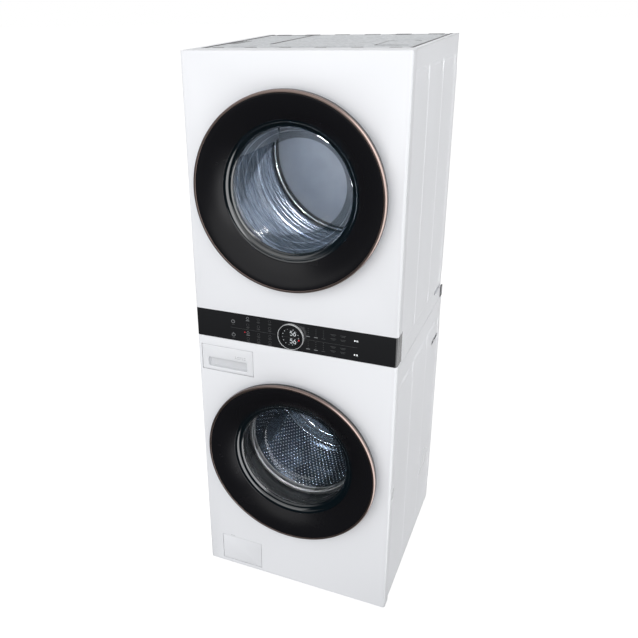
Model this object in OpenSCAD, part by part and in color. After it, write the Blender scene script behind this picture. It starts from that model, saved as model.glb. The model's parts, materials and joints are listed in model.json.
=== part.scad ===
// Stacked laundry centre: a front-loading washer below, a tumble dryer above and one control
// band between the two round doors.
//
// Every module works in "face" coordinates: X to the right, Y rearwards from the outside of the
// front panels, Z up from the floor. on_face() moves them to the part's own frame, whose origin
// is the centre of the overall footprint, on the floor.

/* [Cabinets] */
// Overall width of both cabinets
cab_w = 686; // [680:1:700]
// Overall height to the top of the dryer
cab_h = 1889; // [1880:1:1900]
// Depth of the washer cabinet
lower_d = 690; // [685:1:700]
// Depth of the dryer cabinet
upper_d = 655; // [650:1:665]
// Height of the joint between washer and dryer
seam_z = 950; // [948:1:951]
// Thickness of the cabinet sheets
sheet = 2; // [1.5:0.5:2]
// Radius of the rounded front corners
corner_r = 9; // [8:1:10]
// How far the front panels wrap round each side
wrap_d = 47; // [45:1:50]

/* [Control band] */
// Lower edge of the band
band_z0 = 972.5; // [971:0.5:974]
// Upper edge of the band
band_z1 = 1073; // [1070:0.5:1076]
// How far the band wraps round each side
band_wrap = 52; // [50:1:54]
// Height of the dial's axis
dial_z = 1022.7; // [1021:0.1:1025]
// Outer radius of the dial ring
dial_r = 44; // [43:0.5:46]

/* [Doors] */
// Height of the washer door's centre
washer_z = 554.5; // [553:0.5:556]
// Height of the dryer door's centre
dryer_z = 1490; // [1488:1:1492]
// Outer radius of the black dished bezel
bezel_r = 293; // [292:0.5:293]
// Outer radius of the metal trim ring
trim_r = 302; // [300:1:302]
// Radius of the window inside the bezel
window_r = 190; // [188:1:192]
// How far the doors stand out from the front panels
door_proud = 44; // [43:1:44]

/* [Washer] */
// Outer radius of the tub
tub_r = 290; // [288:1:291]
// Outer radius of the wash drum
wash_drum_r = 262; // [258:1:264]
// Radius of the drum shaft
shaft_r = 17.5; // [15:0.5:20]

/* [Dryer] */
// Outer radius of the tumbling drum
dry_drum_r = 300; // [296:1:301]
// Outer radius of the exhaust collar
exhaust_r = 50.8; // [50:0.1:51]

/* [Hidden] */

$fn = 96;
eps = 0.01;
half_w = cab_w / 2;
inner_w = half_w - sheet;
running_gap = 0.05;     // radial clearance of every shaft in its bore
rear_reach = 728;       // how far back the inlet spigots stand
face_y = -(rear_reach + door_proud) / 2 + door_proud;

// finishes
white = [0.94, 0.94, 0.95];
zinc = [0.74, 0.75, 0.76];
black = [0.05, 0.05, 0.06];
bronze = [0.55, 0.45, 0.42];
steel = [0.76, 0.77, 0.78];
plastic_grey = [0.72, 0.73, 0.74];
rubber_grey = [0.45, 0.46, 0.47];

// detergent drawer opening in the washer's front panel
drawer_x0 = -330;
drawer_x1 = -138;
drawer_z0 = 845;
drawer_z1 = 940.6;
front_gap = 1;          // gap round the drawer front and the flap

// drain filter opening
flap_x0 = -289;
flap_x1 = -129;
flap_z0 = 28.5;
flap_z1 = 140;
cap_x = -209;
cap_z = 84;

// door hinges: the axis is vertical and stands in front of the panel
hinge_x = -284;
hinge_y = -26;
hinge_pin_r = 3;
knuckle_r = 6;
opening_r = 250;        // round opening in each front panel
latch_x = 262;          // middle of the latch hook

// feet
foot_h = 14;            // height of the cabinet's lower edge
foot_x = 306;
foot_front_y = 65;
foot_rear_y = 630;
foot_r = 20;
stud_r = 5;

// places of the washer's running parts, measured rearwards
tub_y0 = 100;
tub_split = 330;
tub_y1 = 548;
drum_y0 = 115;
drum_y1 = 500;
bounce = 6;             // how far the tub rides up and down on its springs

// places of the dryer's running parts
motor_x = 170;
motor_z = 1070;
belt_y0 = 300;
belt_y1 = 314;
roller_r = 25;
roller_angle = 35;      // from straight down, each side
roller_reach = dry_drum_r + roller_r + 0.5;
collar_z = 1010;
collar_x = -20;

module on_face() translate([0, face_y, 0]) children();

// turns a profile of [radius, depth] points about the horizontal axis of a door or drum
module turn_y(z, x = 0) translate([x, 0, z]) rotate([-90, 0, 0]) rotate_extrude($fn = 144) children();

// a box given by its two corners
module block(lo, hi) translate(lo) cube(hi - lo);

// a round bar or hole along Y
module bar_y(x, z, r, y0, y1) translate([x, y0, z]) rotate([-90, 0, 0]) cylinder(r = r, h = y1 - y0);

// rectangle with rounded corners, from its two corners
module soft_rect(lo, hi, r) {
    size = hi - lo;
    translate(lo + [r, 0]) square([size[0] - 2 * r, size[1]]);
    translate(lo + [0, r]) square([size[0], size[1] - 2 * r]);
    for (x = [lo[0] + r, hi[0] - r], y = [lo[1] + r, hi[1] - r]) translate([x, y]) circle(r, $fn = 32);
}

// ---- cabinet sheets ----

fold_d = 20;            // how far the upper front panel folds over onto the top
band_ledge = 1.5;       // lip above and below the control band
lower_front_z1 = band_z0 - band_ledge - 0.5;

// plan of a front panel: flat front, rounded corners, wrapped back to depth d
module wrap_plan(d, inset, t) difference() {
    wrap_outline(half_w - inset, inset, corner_r - inset / 2, d);
    wrap_outline(half_w - inset - t, inset + t, corner_r - inset / 2 - t, d + eps);
}

module wrap_outline(w, y0, r, d) {
    translate([-w, y0 + r]) square([2 * w, d - y0 - r]);
    translate([-w + r, y0]) square([2 * (w - r), r + eps]);
    for (s = [-1, 1]) translate([s * (w - r), y0 + r]) circle(r, $fn = 48);
}

module lip_ring(z) turn_y(z) polygon([
    [opening_r, 0], [opening_r, 24], [200, 24], [200, 22], [opening_r - sheet, 22], [opening_r - sheet, 0]
]);

module latch_slot(z) block([latch_x - 9, -1, z - 16], [latch_x + 10, 3, z + 16]);

module bracket_slot(z) block([hinge_x + 20, -1, z - 12], [hinge_x + 31, 3, z + 12]);

module lower_front_panel() color(white) on_face() {
    difference() {
        translate([0, 0, foot_h]) linear_extrude(lower_front_z1 - foot_h) wrap_plan(wrap_d, 0, sheet);
        bar_y(0, washer_z, opening_r - sheet, -1, 3);
        block([drawer_x0, -1, drawer_z0], [drawer_x1, 3, drawer_z1]);
        block([flap_x0, -1, flap_z0], [flap_x1, 3, flap_z1]);
        latch_slot(washer_z);
        bracket_slot(washer_z);
    }
    lip_ring(washer_z);
}

module upper_front_panel() color(white) on_face() {
    difference() {
        union() {
            translate([0, 0, band_z1]) linear_extrude(cab_h - sheet - band_z1) wrap_plan(wrap_d, 0, sheet);
            // joggled back behind the control band
            translate([0, 0, band_z0 - band_ledge]) linear_extrude(band_z1 - band_z0 + 2 * band_ledge)
                wrap_plan(wrap_d, 4, sheet);
            for (z = [band_z0 - band_ledge, band_z1]) translate([0, 0, z]) linear_extrude(band_ledge)
                wrap_plan(wrap_d, 0, 5);
            // folded over onto the top
            translate([0, 0, cab_h - sheet]) linear_extrude(sheet) wrap_outline(half_w, 0, corner_r, fold_d);
        }
        bar_y(0, dryer_z, opening_r - sheet, -1, 3);
        block([-250, -1, 977], [250, 10, 1068]);
        latch_slot(dryer_z);
        bracket_slot(dryer_z);
    }
    lip_ring(dryer_z);
}

// tall embossed field on a side sheet, drawn on the sheet's own plane (Y, Z)
module side_fields(y_edges, z0, z1) for (i = [0 : 2])
    soft_rect([y_edges[i] + 8, z0], [y_edges[i + 1] - 8, z1], 34);

// a side sheet between depths y0 and y1, with raised fields and a grip pocket; s is the side
module side_sheet(s, d, z0, z1, y_edges, field_z, grip_z) {
    skin = 1.5;
    outer = half_w - side_relief;
    mirror([s < 0 ? 1 : 0, 0, 0]) difference() {
        union() {
            block([outer - skin, wrap_d, z0], [outer, d, z1]);
            // bead that meets the front panel's edge
            block([outer - skin, wrap_d, z0], [half_w - 1.5, wrap_d + 4, z1]);
            translate([outer - eps, 0, 0]) rotate([90, 0, 90]) linear_extrude(side_relief + eps)
                side_fields(y_edges, field_z[0], field_z[1]);
            // folded flanges at the rear and the foot
            block([outer - 16, d - skin, z0], [outer, d, z1]);
            block([outer - 16, wrap_d, z0], [outer, d, z0 + skin]);
            // grip pocket
            block([outer - 24, 540, grip_z - 12], [outer, 645, grip_z + 18]);
        }
        block([outer - 21, 543, grip_z - 8], [half_w + 1, 642, grip_z + 8]);
    }
}

lower_edges = [47, 244, 458, 646];
upper_edges = [47, 220, 420, 605];
side_relief = 3.5;      // how far the raised fields stand out from the side sheets
lower_grip_z = 808;
upper_grip_z = 1005;

module lower_side(s) color(white) on_face()
    side_sheet(s, lower_d, foot_h, seam_z, lower_edges, [75, 880], lower_grip_z);

module upper_side(s) color(white) on_face() {
    side_sheet(s, upper_d, seam_z + 2, cab_h - sheet, upper_edges, [1032, 1830], upper_grip_z);
    // flange folded over onto the top
    mirror([s < 0 ? 1 : 0, 0, 0]) block([322, 90.5, cab_h - sheet], [half_w - side_relief, upper_d, cab_h]);
}

module lower_left_side() lower_side(-1);
module lower_right_side() lower_side(1);
module upper_left_side() upper_side(-1);
module upper_right_side() upper_side(1);

side_in = half_w - side_relief - 1.5;   // inside face of the side sheets

module base_pan() color(zinc) on_face() {
    floor_z = foot_h;
    side = side_in - 18.5;
    difference() {
        union() {
            block([-side, 12, floor_z], [side, lower_d - 4, floor_z + 3]);
            for (x = [-side, side]) block([x - 1.5, 12, floor_z], [x + 1.5, lower_d - 4, floor_z + 34]);
            for (y = [12, lower_d - 7]) block([-side, y, floor_z], [side, y + 3, floor_z + 12]);
            // rails that the dampers stand on
            for (y = [180, 440]) block([-side, y - 22, floor_z], [side, y + 22, floor_z + 22]);
            for (x = [-1, 1], y = [foot_front_y, foot_rear_y])
                translate([x * foot_x, y, floor_z]) cylinder(r = 12, h = 24);
        }
        for (x = [-1, 1], y = [foot_front_y, foot_rear_y])
            translate([x * foot_x, y, floor_z - 1]) cylinder(r = stud_r + running_gap, h = 40);
    }
}

module lower_rear_panel() color(zinc) on_face() difference() {
    block([-side_in + 16, lower_d - 3, foot_h + 1.5], [side_in - 16, lower_d - 1.5, seam_z - 2]);
    for (x = inlet_x) bar_y(x, inlet_z, 16, lower_d - 5, lower_d + 5);
    bar_y(drain_x, drain_z, 17, lower_d - 5, lower_d + 5);
}

module deck() color(white) on_face() {
    block([-side_in, 10, seam_z - 2], [side_in, lower_d - 1.5, seam_z]);
    // pads that the dryer's sides stand on
    for (s = [-1, 1]) block([s * 330 - 8, 100, seam_z - eps], [s * 330 + 8, 640, seam_z + 2]);
    // stiffening channels that carry the dryer
    for (y = [60, 330, 600]) block([-side_in + 20, y, seam_z - 8], [side_in - 20, y + 22, seam_z - 2]);
}

module upper_rear_panel() color(zinc) on_face() difference() {
    block([-side_in + 16, upper_d - 3, seam_z + 2], [side_in - 16, upper_d - 1.5, cab_h - sheet]);
    bar_y(collar_x, collar_z, exhaust_r + 1, upper_d - 5, upper_d + 5);
    block([200, upper_d - 5, 1090], [280, upper_d + 5, 1170]);
}

module top_front_strip() color(white) on_face() {
    block([-half_w, fold_d + 0.5, cab_h - sheet], [half_w, wrap_d, cab_h]);
    block([-half_w + side_relief, wrap_d - eps, cab_h - sheet], [half_w - side_relief, 90, cab_h]);
}

module top_plate() color(zinc) on_face() difference() {
    union() {
        block([-320, 90, cab_h - 3.5], [320, upper_d - 3, cab_h - 1.5]);
        translate([0, 0, cab_h - 2]) linear_extrude(2) {
            soft_rect([190, 190], [285, 350], 20);
            soft_rect([-120, 130], [140, 620], 30);
            for (x = [-270 : 90 : 290]) soft_rect([x - 12, upper_d - 26], [x + 12, upper_d - 8], 3);
        }
    }
    translate([0, 0, cab_h - 2.5]) linear_extrude(3) {
        soft_rect([-158, 240], [-150, 640], 3.5);
        soft_rect([-316, 255], [-276, 385], 19);
    }
}

// ---- control band ----

module control_fascia() color(black) on_face() difference() {
    translate([0, 0, band_z0]) linear_extrude(band_z1 - band_z0) {
        wrap_plan(wrap_d - 1, 0, 3.5);
        difference() {
            wrap_plan(band_wrap, 0, 1.3);
            translate([-half_w - 1, -1]) square([cab_w + 2, corner_r]);
        }
    }
    bar_y(0, dial_z, 39 + running_gap, -1, 5);
}

module display_module() color(black) on_face() {
    bar_y(0, dial_z, 33, -8, 10);
    block([-240, 10, 985], [240, 12, 1061]);
    for (x = [-206, -150, -110, -70, 60, 108, 214], z = [994, 1044])
        bar_y(x, z, 6, 3.5, 10);
}

// the selector ring turns in the fascia's round hole, about the fixed display
module cycle_dial() color(steel) on_face() turn_y(dial_z) polygon([
    [35, -9], [36, -10], [dial_r - 1, -10], [dial_r, -9], [dial_r, -1], [39, -1], [39, 4.2], [41.5, 4.2],
    [41.5, 6], [35, 6]
]);

// ---- doors ----

// depth of the dished bezel at radius r: flat near the rim and steeper near the window
function dish(r) = -door_proud + (door_proud + 5) * pow((bezel_r - r) / (bezel_r - window_r), 1.6);

module door_bezel(z) color(black) on_face() turn_y(z) polygon(concat(
    [for (i = [0 : 12]) let (r = bezel_r - (bezel_r - window_r) * i / 12) [r, dish(r)]],
    [[window_r, 9], [window_r + 6, 9]],
    [for (i = [11 : -1 : 1]) let (r = bezel_r - 3 - (bezel_r - 3 - window_r) * i / 12) [r, dish(r) + 4.5]],
    [[bezel_r - 3, -door_proud + 4], [bezel_r - 3, -21], [bezel_r, -21]]
));

module door_trim(z) color(bronze) on_face() turn_y(z) polygon([
    [bezel_r, -door_proud], [bezel_r + 5, -door_proud], [trim_r, -door_proud + 4], [trim_r, -24],
    [trim_r - 3, -21], [bezel_r, -21]
]);

module door_glass(z) color([0.4, 0.45, 0.5, 0.4]) on_face() turn_y(z) polygon([
    [186, 9], [200, 9], [200, 14], [192, 15], [170, 66], [150, 100], [140, 108], [90, 111], [0, 112],
    [0, 107], [88, 106], [136, 103.5], [145, 97], [165, 63], [186, 15]
]);

// ring that clamps the glass, with the hinge lugs and the latch hook
module door_frame(z) color(plastic_grey) on_face() {
    difference() {
        turn_y(z) polygon([
            [292, -21], [242, -21], [206, 0], [200.5, 9], [200.5, 16], [205, 19], [212, 16], [220, -3],
            [282, -3], [285, -6], [285, -17], [292, -18]
        ]);
        // pocket that the fixed bracket swings in
        block([hinge_x - 30, -24, z - 15], [hinge_x + 41, 0, z + 15]);
        bar_z_at(hinge_x, hinge_y, z, knuckle_r + 1.5, 29);
    }
    // hinge lugs above and below the bracket's knuckle
    for (s = [-1, 1]) difference() {
        union() {
            bar_z_at(hinge_x, hinge_y, z + s * 21, knuckle_r - 1.5, 5);
            block([hinge_x, hinge_y - 4, z + s * 21 - 5], [hinge_x + 16, hinge_y + 7, z + s * 21 + 5]);
        }
        bar_z_at(hinge_x, hinge_y, z, hinge_pin_r + running_gap, 40);
    }
    // hook
    difference() {
        block([latch_x - 6, -4, z - 12], [latch_x + 6, 22, z + 12]);
        block([latch_x - 7, 6, z - 7], [latch_x + 7, 15, z + 7]);
    }
}

// an upright round bar of half height h, centred at z
module bar_z_at(x, y, z, r, h) translate([x, y, z - h]) cylinder(r = r, h = 2 * h);

module lower_door_bezel() door_bezel(washer_z);
module lower_door_trim() door_trim(washer_z);
module lower_door_frame() door_frame(washer_z);
module lower_door_glass() door_glass(washer_z);
module upper_door_bezel() door_bezel(dryer_z);
module upper_door_trim() door_trim(dryer_z);
module upper_door_frame() door_frame(dryer_z);
module upper_door_glass() door_glass(dryer_z);

// each bracket reaches out of the front panel in a gooseneck and holds an upright pin
module hinge_bracket(z) {
    bar_z_at(hinge_x, hinge_y, z, hinge_pin_r, 27);
    bar_z_at(hinge_x, hinge_y, z, knuckle_r - 0.5, 10);
    block([hinge_x, hinge_y - 2, z - 10], [hinge_x + 29, hinge_y + 1, z + 10]);
    block([hinge_x + 22, hinge_y - 2, z - 10], [hinge_x + 29, 8, z + 10]);
    // plate behind the panel, with its screws
    block([hinge_x - 34, 2, z - 50], [hinge_x + 31, 8, z + 50]);
    for (x = [hinge_x - 22, hinge_x + 18], dz = [-38, 38]) bar_y(x, z + dz, 4, 8, 14);
}

module door_lock(z) difference() {
    block([253, 2, z - 45], [300, 38, z + 45]);
    block([latch_x - 8, 1, z - 15], [latch_x + 10, 30, z + 15]);
}

module door_hardware() color(steel) on_face() for (z = [washer_z, dryer_z]) {
    hinge_bracket(z);
    door_lock(z);
}

// ---- detergent drawer ----

tray_x = [drawer_x0 + 12, drawer_x1 - 12];
tray_z = [850, 925];
tray_y1 = 300;
grip_x = [-306, -162];
grip_z = [859, 893];

module dispenser_housing() color(plastic_grey) on_face() {
    difference() {
        block([tray_x[0] - 6, 26, tray_z[0] - 8], [tray_x[1] + 6, 330, tray_z[1] + 12]);
        block([tray_x[0] - 3, 25, tray_z[0] - 5], [tray_x[1] + 3, 326, tray_z[1] + 9]);
    }
    // outlet to the tub and water inlet spigots on the lid
    for (x = [-280, -230]) translate([x, 250, tray_z[1] + 12 - eps]) cylinder(r = 7, h = 8);
}

module detergent_drawer() color(white) on_face() {
    wall = 2.5;
    lo = [tray_x[0], 17.9, tray_z[0]];
    hi = [tray_x[1], tray_y1, tray_z[1]];
    // front with its recessed grip
    difference() {
        block([drawer_x0 + front_gap, 0, drawer_z0 + front_gap],
              [drawer_x1 - front_gap, 18, drawer_z1 - front_gap]);
        translate([0, 14, 0]) rotate([90, 0, 0]) linear_extrude(20)
            soft_rect([grip_x[0], grip_z[0]], [grip_x[1], grip_z[1]], 4);
    }
    // tray with three compartments
    difference() {
        block(lo, hi);
        for (c = [[0, 0.36, 0.55], [0.36, 0.64, 0.55], [0.64, 1, 0.55]])
            block([lo[0] + wall + c[0] * (hi[0] - lo[0] - wall), 22, lo[2] + wall],
                  [lo[0] + c[1] * (hi[0] - lo[0] - wall), 22 + c[2] * 500, hi[2] + 1]);
    }
}

// ---- drain filter ----

flap_axis_y = 3;
flap_axis_z = flap_z0 + 4.5;

module filter_flap() color(white) on_face() {
    block([flap_x0 + front_gap, 0, flap_z0 + 2], [flap_x1 - front_gap, 3, flap_z1 - front_gap]);
    // hinge barrels along the lower edge
    for (x = [flap_x0 + 12, flap_x1 - 42]) translate([x, flap_axis_y, flap_axis_z])
        rotate([0, 90, 0]) cylinder(r = 3, h = 30);
}

module filter_cap() color(plastic_grey) on_face() {
    bar_y(cap_x, cap_z, 29, 30, 40);
    bar_y(cap_x, cap_z, 22, 40, 70);
    block([cap_x - 24, 18, cap_z - 4], [cap_x + 24, 30, cap_z + 4]);
    for (a = [0 : 30 : 330]) bar_y(cap_x + 29 * cos(a), cap_z + 29 * sin(a), 2.5, 31, 39);
}

drain_x = -260;
drain_z = 90;
spigot_r = 14;

module drain_pump() color(plastic_grey) on_face() {
    difference() {
        union() {
            bar_y(cap_x, cap_z, 30, 41, 150);
            bar_y(cap_x, cap_z, 36, 41, 46);
            // pump motor behind the filter chamber
            bar_y(cap_x, cap_z, 38, 150, 165);
            bar_y(cap_x, cap_z, 28, 165, 215);
            // legs down to the base pan
            for (x = [-26, 22]) block([cap_x + x, 60, 17], [cap_x + x + 4, 140, cap_z]);
        }
        bar_y(cap_x, cap_z, 22.5, 40.5, 140);
    }
    // outlet tube to the spigot at the back
    difference() {
        union() {
            bar_y(drain_x, drain_z, spigot_r - 1, 150, lower_d + 2);
            bar_y(drain_x, drain_z, spigot_r, lower_d + 1, lower_d + 25);
        }
        bar_y(drain_x, drain_z, 10.5, 150 - 1, lower_d + 26);
    }
    block([drain_x + 10, 151, drain_z - 10], [cap_x - 26, 164, drain_z + 8]);
}

inlet_x = [90, 150];
inlet_z = 880;

module inlet_valves() color(plastic_grey) on_face() {
    block([68, 640, inlet_z - 26], [172, lower_d - 4, inlet_z + 22]);
    for (x = inlet_x) difference() {
        union() {
            bar_y(x, inlet_z, 10, lower_d - 4 - eps, rear_reach - 16);
            bar_y(x, inlet_z, 13.2, rear_reach - 16 - eps, rear_reach);
            bar_y(x, inlet_z, 15, lower_d - 4 - eps, lower_d + 6);
        }
        bar_y(x, inlet_z, 7, lower_d, rear_reach + 1);
    }
}

// ---- washer: tub and what hangs on it ----

module boot_gasket() color(rubber_grey) on_face() turn_y(washer_z) polygon([
    [192, 24], [208, 24], [208, 34], [228, 50], [228, 66], [215, 82], [215, 98], [208, 98], [208, 80],
    [221, 64], [221, 52], [200, 39], [192, 39]
]);

module tub_front() color(plastic_grey) on_face() turn_y(washer_z) polygon([
    [196, 92], [200, 92], [200, tub_y0], [286, tub_y0], [tub_r, 104], [tub_r, 316], [298, 316],
    [298, tub_split], [286, tub_split], [286, 106], [284, tub_y0 + 4], [196, tub_y0 + 4]
]);

module tub_rear() color(plastic_grey) on_face() {
    turn_y(washer_z) polygon([
        [286, tub_split], [298, tub_split], [298, 342], [tub_r, 342], [tub_r, tub_y1 - 6], [284, tub_y1],
        [60, tub_y1], [60, 576], [40, 576], [40, tub_y1 - 8], [280, tub_y1 - 8], [286, tub_y1 - 14]
    ]);
    // stiffening ribs on the back
    for (a = [15 : 30 : 345]) translate([0, 0, washer_z]) rotate([0, a, 0])
        block([156, tub_y1 - 2, -2], [280, tub_y1 + 14, 2]);
    // ears for the springs and feet for the dampers
    difference() {
        for (s = [-1, 1]) {
            block([s * spring_x - 9, 380, washer_z + 100], [s * spring_x + 9, 400, spring_z0 - 0.3]);
            block([s * damper_x - 12, 428, washer_z - 250], [s * damper_x + 12, 452, washer_z - 190]);
        }
        bar_y(0, washer_z, tub_r - 3, 370, 460);
    }
}

module tub_bearings() color(steel) on_face() for (y = [tub_y1 - 7, 560]) difference() {
    bar_y(0, washer_z, 40, y, y + 15);
    bar_y(0, washer_z, shaft_r + running_gap, y - 1, y + 16);
}

// two concrete blocks, one above and one below the door
module counterweights() color([0.62, 0.61, 0.59]) on_face() difference() {
    turn_y(washer_z) polygon([[236, 50], [298, 50], [298, tub_y0], [236, tub_y0]]);
    block([-310, 40, washer_z - 90], [310, 110, washer_z + 90]);
    for (a = [50, 130, 230, 310]) bar_y(268 * cos(a), washer_z + 268 * sin(a), 7, 49, 80);
}

module motor_stator() color([0.7, 0.45, 0.25]) on_face() difference() {
    bar_y(0, washer_z, 136, 564, 586);
    bar_y(0, washer_z, 60, 563, 587);
    for (a = [0 : 10 : 350]) translate([0, 0, washer_z]) rotate([0, a, 0])
        block([84, 563, -4], [130, 587, 4]);
}

module washer_drum() color(steel) on_face() {
    turn_y(washer_z) polygon([
        [188, drum_y0], [194, drum_y0], [258, drum_y0 + 6], [wash_drum_r, drum_y0 + 10],
        [wash_drum_r, drum_y1 - 6], [wash_drum_r - 5, drum_y1], [0, drum_y1], [0, drum_y1 - 2],
        [wash_drum_r - 6, drum_y1 - 2], [wash_drum_r - 2, drum_y1 - 7], [wash_drum_r - 2, drum_y0 + 11],
        [257, drum_y0 + 8], [188, drum_y0 + 2]
    ]);
}

module drum_lifters() color(steel) on_face() for (a = [90, 210, 330])
    translate([0, 0, washer_z]) rotate([0, -a, 0]) translate([0, 145, 0]) rotate([-90, 0, 0])
        linear_extrude(330) polygon([
            [257.5, -34], [260, 0], [257.5, 34], [238, 22], [212, 9], [208, 0], [212, -9], [238, -22]
        ]);

// three-armed casting behind the drum, with the drive shaft
module drum_spider() color([0.6, 0.61, 0.62]) on_face() {
    for (a = [30, 150, 270]) translate([0, 0, washer_z]) rotate([0, a, 0])
        block([20, drum_y1 + eps, -16], [250, drum_y1 + 18, 16]);
    bar_y(0, washer_z, 48, drum_y1 + eps, drum_y1 + 28);
    bar_y(0, washer_z, shaft_r, drum_y1 + 1, 606);
}

module motor_rotor() color(zinc) on_face() {
    turn_y(washer_z) polygon([
        [shaft_r, 594], [148, 594], [150, 592], [150, 560], [144, 560], [144, 590], [shaft_r, 590]
    ]);
    difference() {
        bar_y(0, washer_z, 30, 594, 602);
        bar_y(0, washer_z, shaft_r, 593, 603);
    }
}

// ---- washer: springs and dampers ----

damper_x = 190;
damper_y = 440;
rod_r = 9;

module damper_tubes() color(black) on_face() for (s = [-1, 1]) difference() {
    translate([s * damper_x, damper_y, foot_h + 22]) cylinder(r = 15, h = 150);
    translate([s * damper_x, damper_y, foot_h + 34]) cylinder(r = rod_r + 1, h = 150);
}

module damper_rods() color(steel) on_face() for (s = [-1, 1])
    translate([s * damper_x, damper_y, 70]) cylinder(r = rod_r, h = washer_z - 250 - 70);

spring_x = 252;
spring_y = 390;
spring_z0 = washer_z + 170.3;
spring_z1 = seam_z - 2;

// coil of n turns as one swept tube, from z0 to z1
module coil(z0, z1, coil_r, wire_r, turns) {
    sides = 6;
    per_turn = 10;
    steps = per_turn * turns;
    ring = function(i) let (a = 360 * i / per_turn, h = z0 + wire_r + (z1 - z0 - 2 * wire_r) * i / steps)
        [for (k = [0 : sides - 1]) let (b = 360 * k / sides, r = coil_r + wire_r * cos(b))
            [r * cos(a), r * sin(a), h + wire_r * sin(b)]];
    points = [for (i = [0 : steps]) each ring(i)];
    faces = concat(
        [[for (k = [0 : sides - 1]) k]],
        [for (i = [0 : steps - 1], k = [0 : sides - 1]) let (n = (k + 1) % sides)
            each [[i * sides + k, (i + 1) * sides + k, (i + 1) * sides + n],
                [i * sides + k, (i + 1) * sides + n, i * sides + n]]],
        [[for (k = [sides - 1 : -1 : 0]) steps * sides + k]]
    );
    polyhedron(points, faces);
}

module suspension_springs() color(steel) on_face() for (s = [-1, 1])
    translate([s * spring_x, spring_y, 0]) coil(spring_z0, spring_z1, 14, 2.5, 9);

// ---- dryer ----

module dryer_front_bulkhead() color(zinc) on_face() {
    difference() {
        union() {
            block([-336, 42, 1120], [336, 45, 1860]);
            // rim that carries the drum's front seal
            turn_y(dryer_z) polygon([[203, 45], [290, 45], [290, 76], [287, 76], [287, 56], [203, 56]]);
        }
        bar_y(0, dryer_z, 205, 40, 60);
        block([-112, 41, 1215], [112, 57, 1330]);
        block([-112, 46, 1163], [112, 80, 1330]);
    }
    // chute for the lint filter
    difference() {
        block([-118, 45, 1160], [118, 61, 1213]);
        block([-112, 46, 1163], [112, 59.5, 1214]);
    }
    // roller axles
    for (s = [-1, 1]) bar_y(s * roller_reach * sin(roller_angle), dryer_z - roller_reach * cos(roller_angle),
        5, 45 - eps, 104);
}

module dryer_rear_bulkhead() color(zinc) on_face() difference() {
    union() {
        block([-336, 606, 1160], [336, 608, 1830]);
        turn_y(dryer_z) polygon([[0, 603], [292, 603], [292, 588], [295, 588], [295, 606], [0, 606]]);
    }
    // hot air inlet holes and the return grille
    for (x = [-200 : 25 : -75], z = [-100 : 25 : 100]) bar_y(x, dryer_z + z, 6, 600, 610);
}

module dryer_drum() color(steel) on_face() {
    r = dry_drum_r;
    turn_y(dryer_z) polygon([
        [r - 2, 62], [r, 62], [r, 180], [r - 6, 186], [r - 6, 206], [r, 212], [r, 420], [r - 6, 426],
        [r - 6, 446], [r, 452], [r, 598], [r - 2, 598], [r - 2, 453], [r - 8, 447], [r - 8, 425],
        [r - 2, 419], [r - 2, 213], [r - 8, 207], [r - 8, 185], [r - 2, 179]
    ]);
}

module dryer_baffles() color(plastic_grey) on_face() for (a = [45, 165, 285])
    translate([0, 0, dryer_z]) rotate([0, -a, 0]) translate([0, 95, 0]) rotate([-90, 0, 0])
        linear_extrude(470) polygon([
            [289.6, -36], [292, 0], [289.6, 36], [262, 16], [240, 9], [236, 0], [240, -9], [262, -16]
        ]);

module roller(s) color(black) on_face() difference() {
    x = s * roller_reach * sin(roller_angle);
    z = dryer_z - roller_reach * cos(roller_angle);
    bar_y(x, z, roller_r, 80, 102);
    bar_y(x, z, 5 + running_gap, 79, 103);
}

module roller_left() roller(-1);
module roller_right() roller(1);

module dryer_motor() color(black) on_face() difference() {
    union() {
        bar_y(motor_x, motor_z, 66, 350, 450);
        bar_y(motor_x, motor_z, 40, 335, 465);
        block([motor_x - 60, 350, seam_z], [motor_x - 50, 450, motor_z]);
        block([motor_x + 50, 350, seam_z], [motor_x + 60, 450, motor_z]);
    }
    bar_y(motor_x, motor_z, 6 + running_gap, 330, 470);
}

// shaft with the belt pulley at the front and the fan at the rear
module blower_wheel() color(plastic_grey) on_face() {
    bar_y(motor_x, motor_z, 6, 290, 545);
    bar_y(motor_x, motor_z, 12, belt_y0 - 4, belt_y1 + 4);
    bar_y(motor_x, motor_z, 76, 540, 543);
    bar_y(motor_x, motor_z, 16, 500, 541);
    for (a = [0 : 20 : 340]) translate([motor_x, 0, motor_z]) rotate([0, a, 0])
        block([52, 500, -1], [75.5, 541, 1]);
}

module blower_housing() difference() {
    union() {
        bar_y(motor_x, motor_z, 92, 484, 556);
        block([40, 484, motor_z - 92], [motor_x, 556, motor_z - 20]);
    }
    bar_y(motor_x, motor_z, 88, 488, 552);
    block([39, 488, motor_z - 88], [motor_x, 552, motor_z - 24]);
    bar_y(motor_x, motor_z, 45, 480, 489);
}

// fan housing, then the box and the round collar that leaves at the back
module exhaust_duct() color(zinc) on_face() {
    blower_housing();
    outlet_duct();
}

module outlet_duct() difference() {
    x0 = collar_x - 60;
    z0 = collar_z - 55;
    union() {
        block([x0, 484, z0], [40, 556, collar_z + 55]);
        bar_y(collar_x, collar_z, exhaust_r - 0.8, 555, upper_d + 1);
        bar_y(collar_x, collar_z, exhaust_r, upper_d, upper_d + 40);
    }
    block([x0 + 2, 486, z0 + 2], [38, 554, collar_z + 53]);
    block([37, 488, motor_z - 88], [41, 552, motor_z - 24]);
    bar_y(collar_x, collar_z, exhaust_r - 1.8, 550, upper_d + 41);
}

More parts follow.
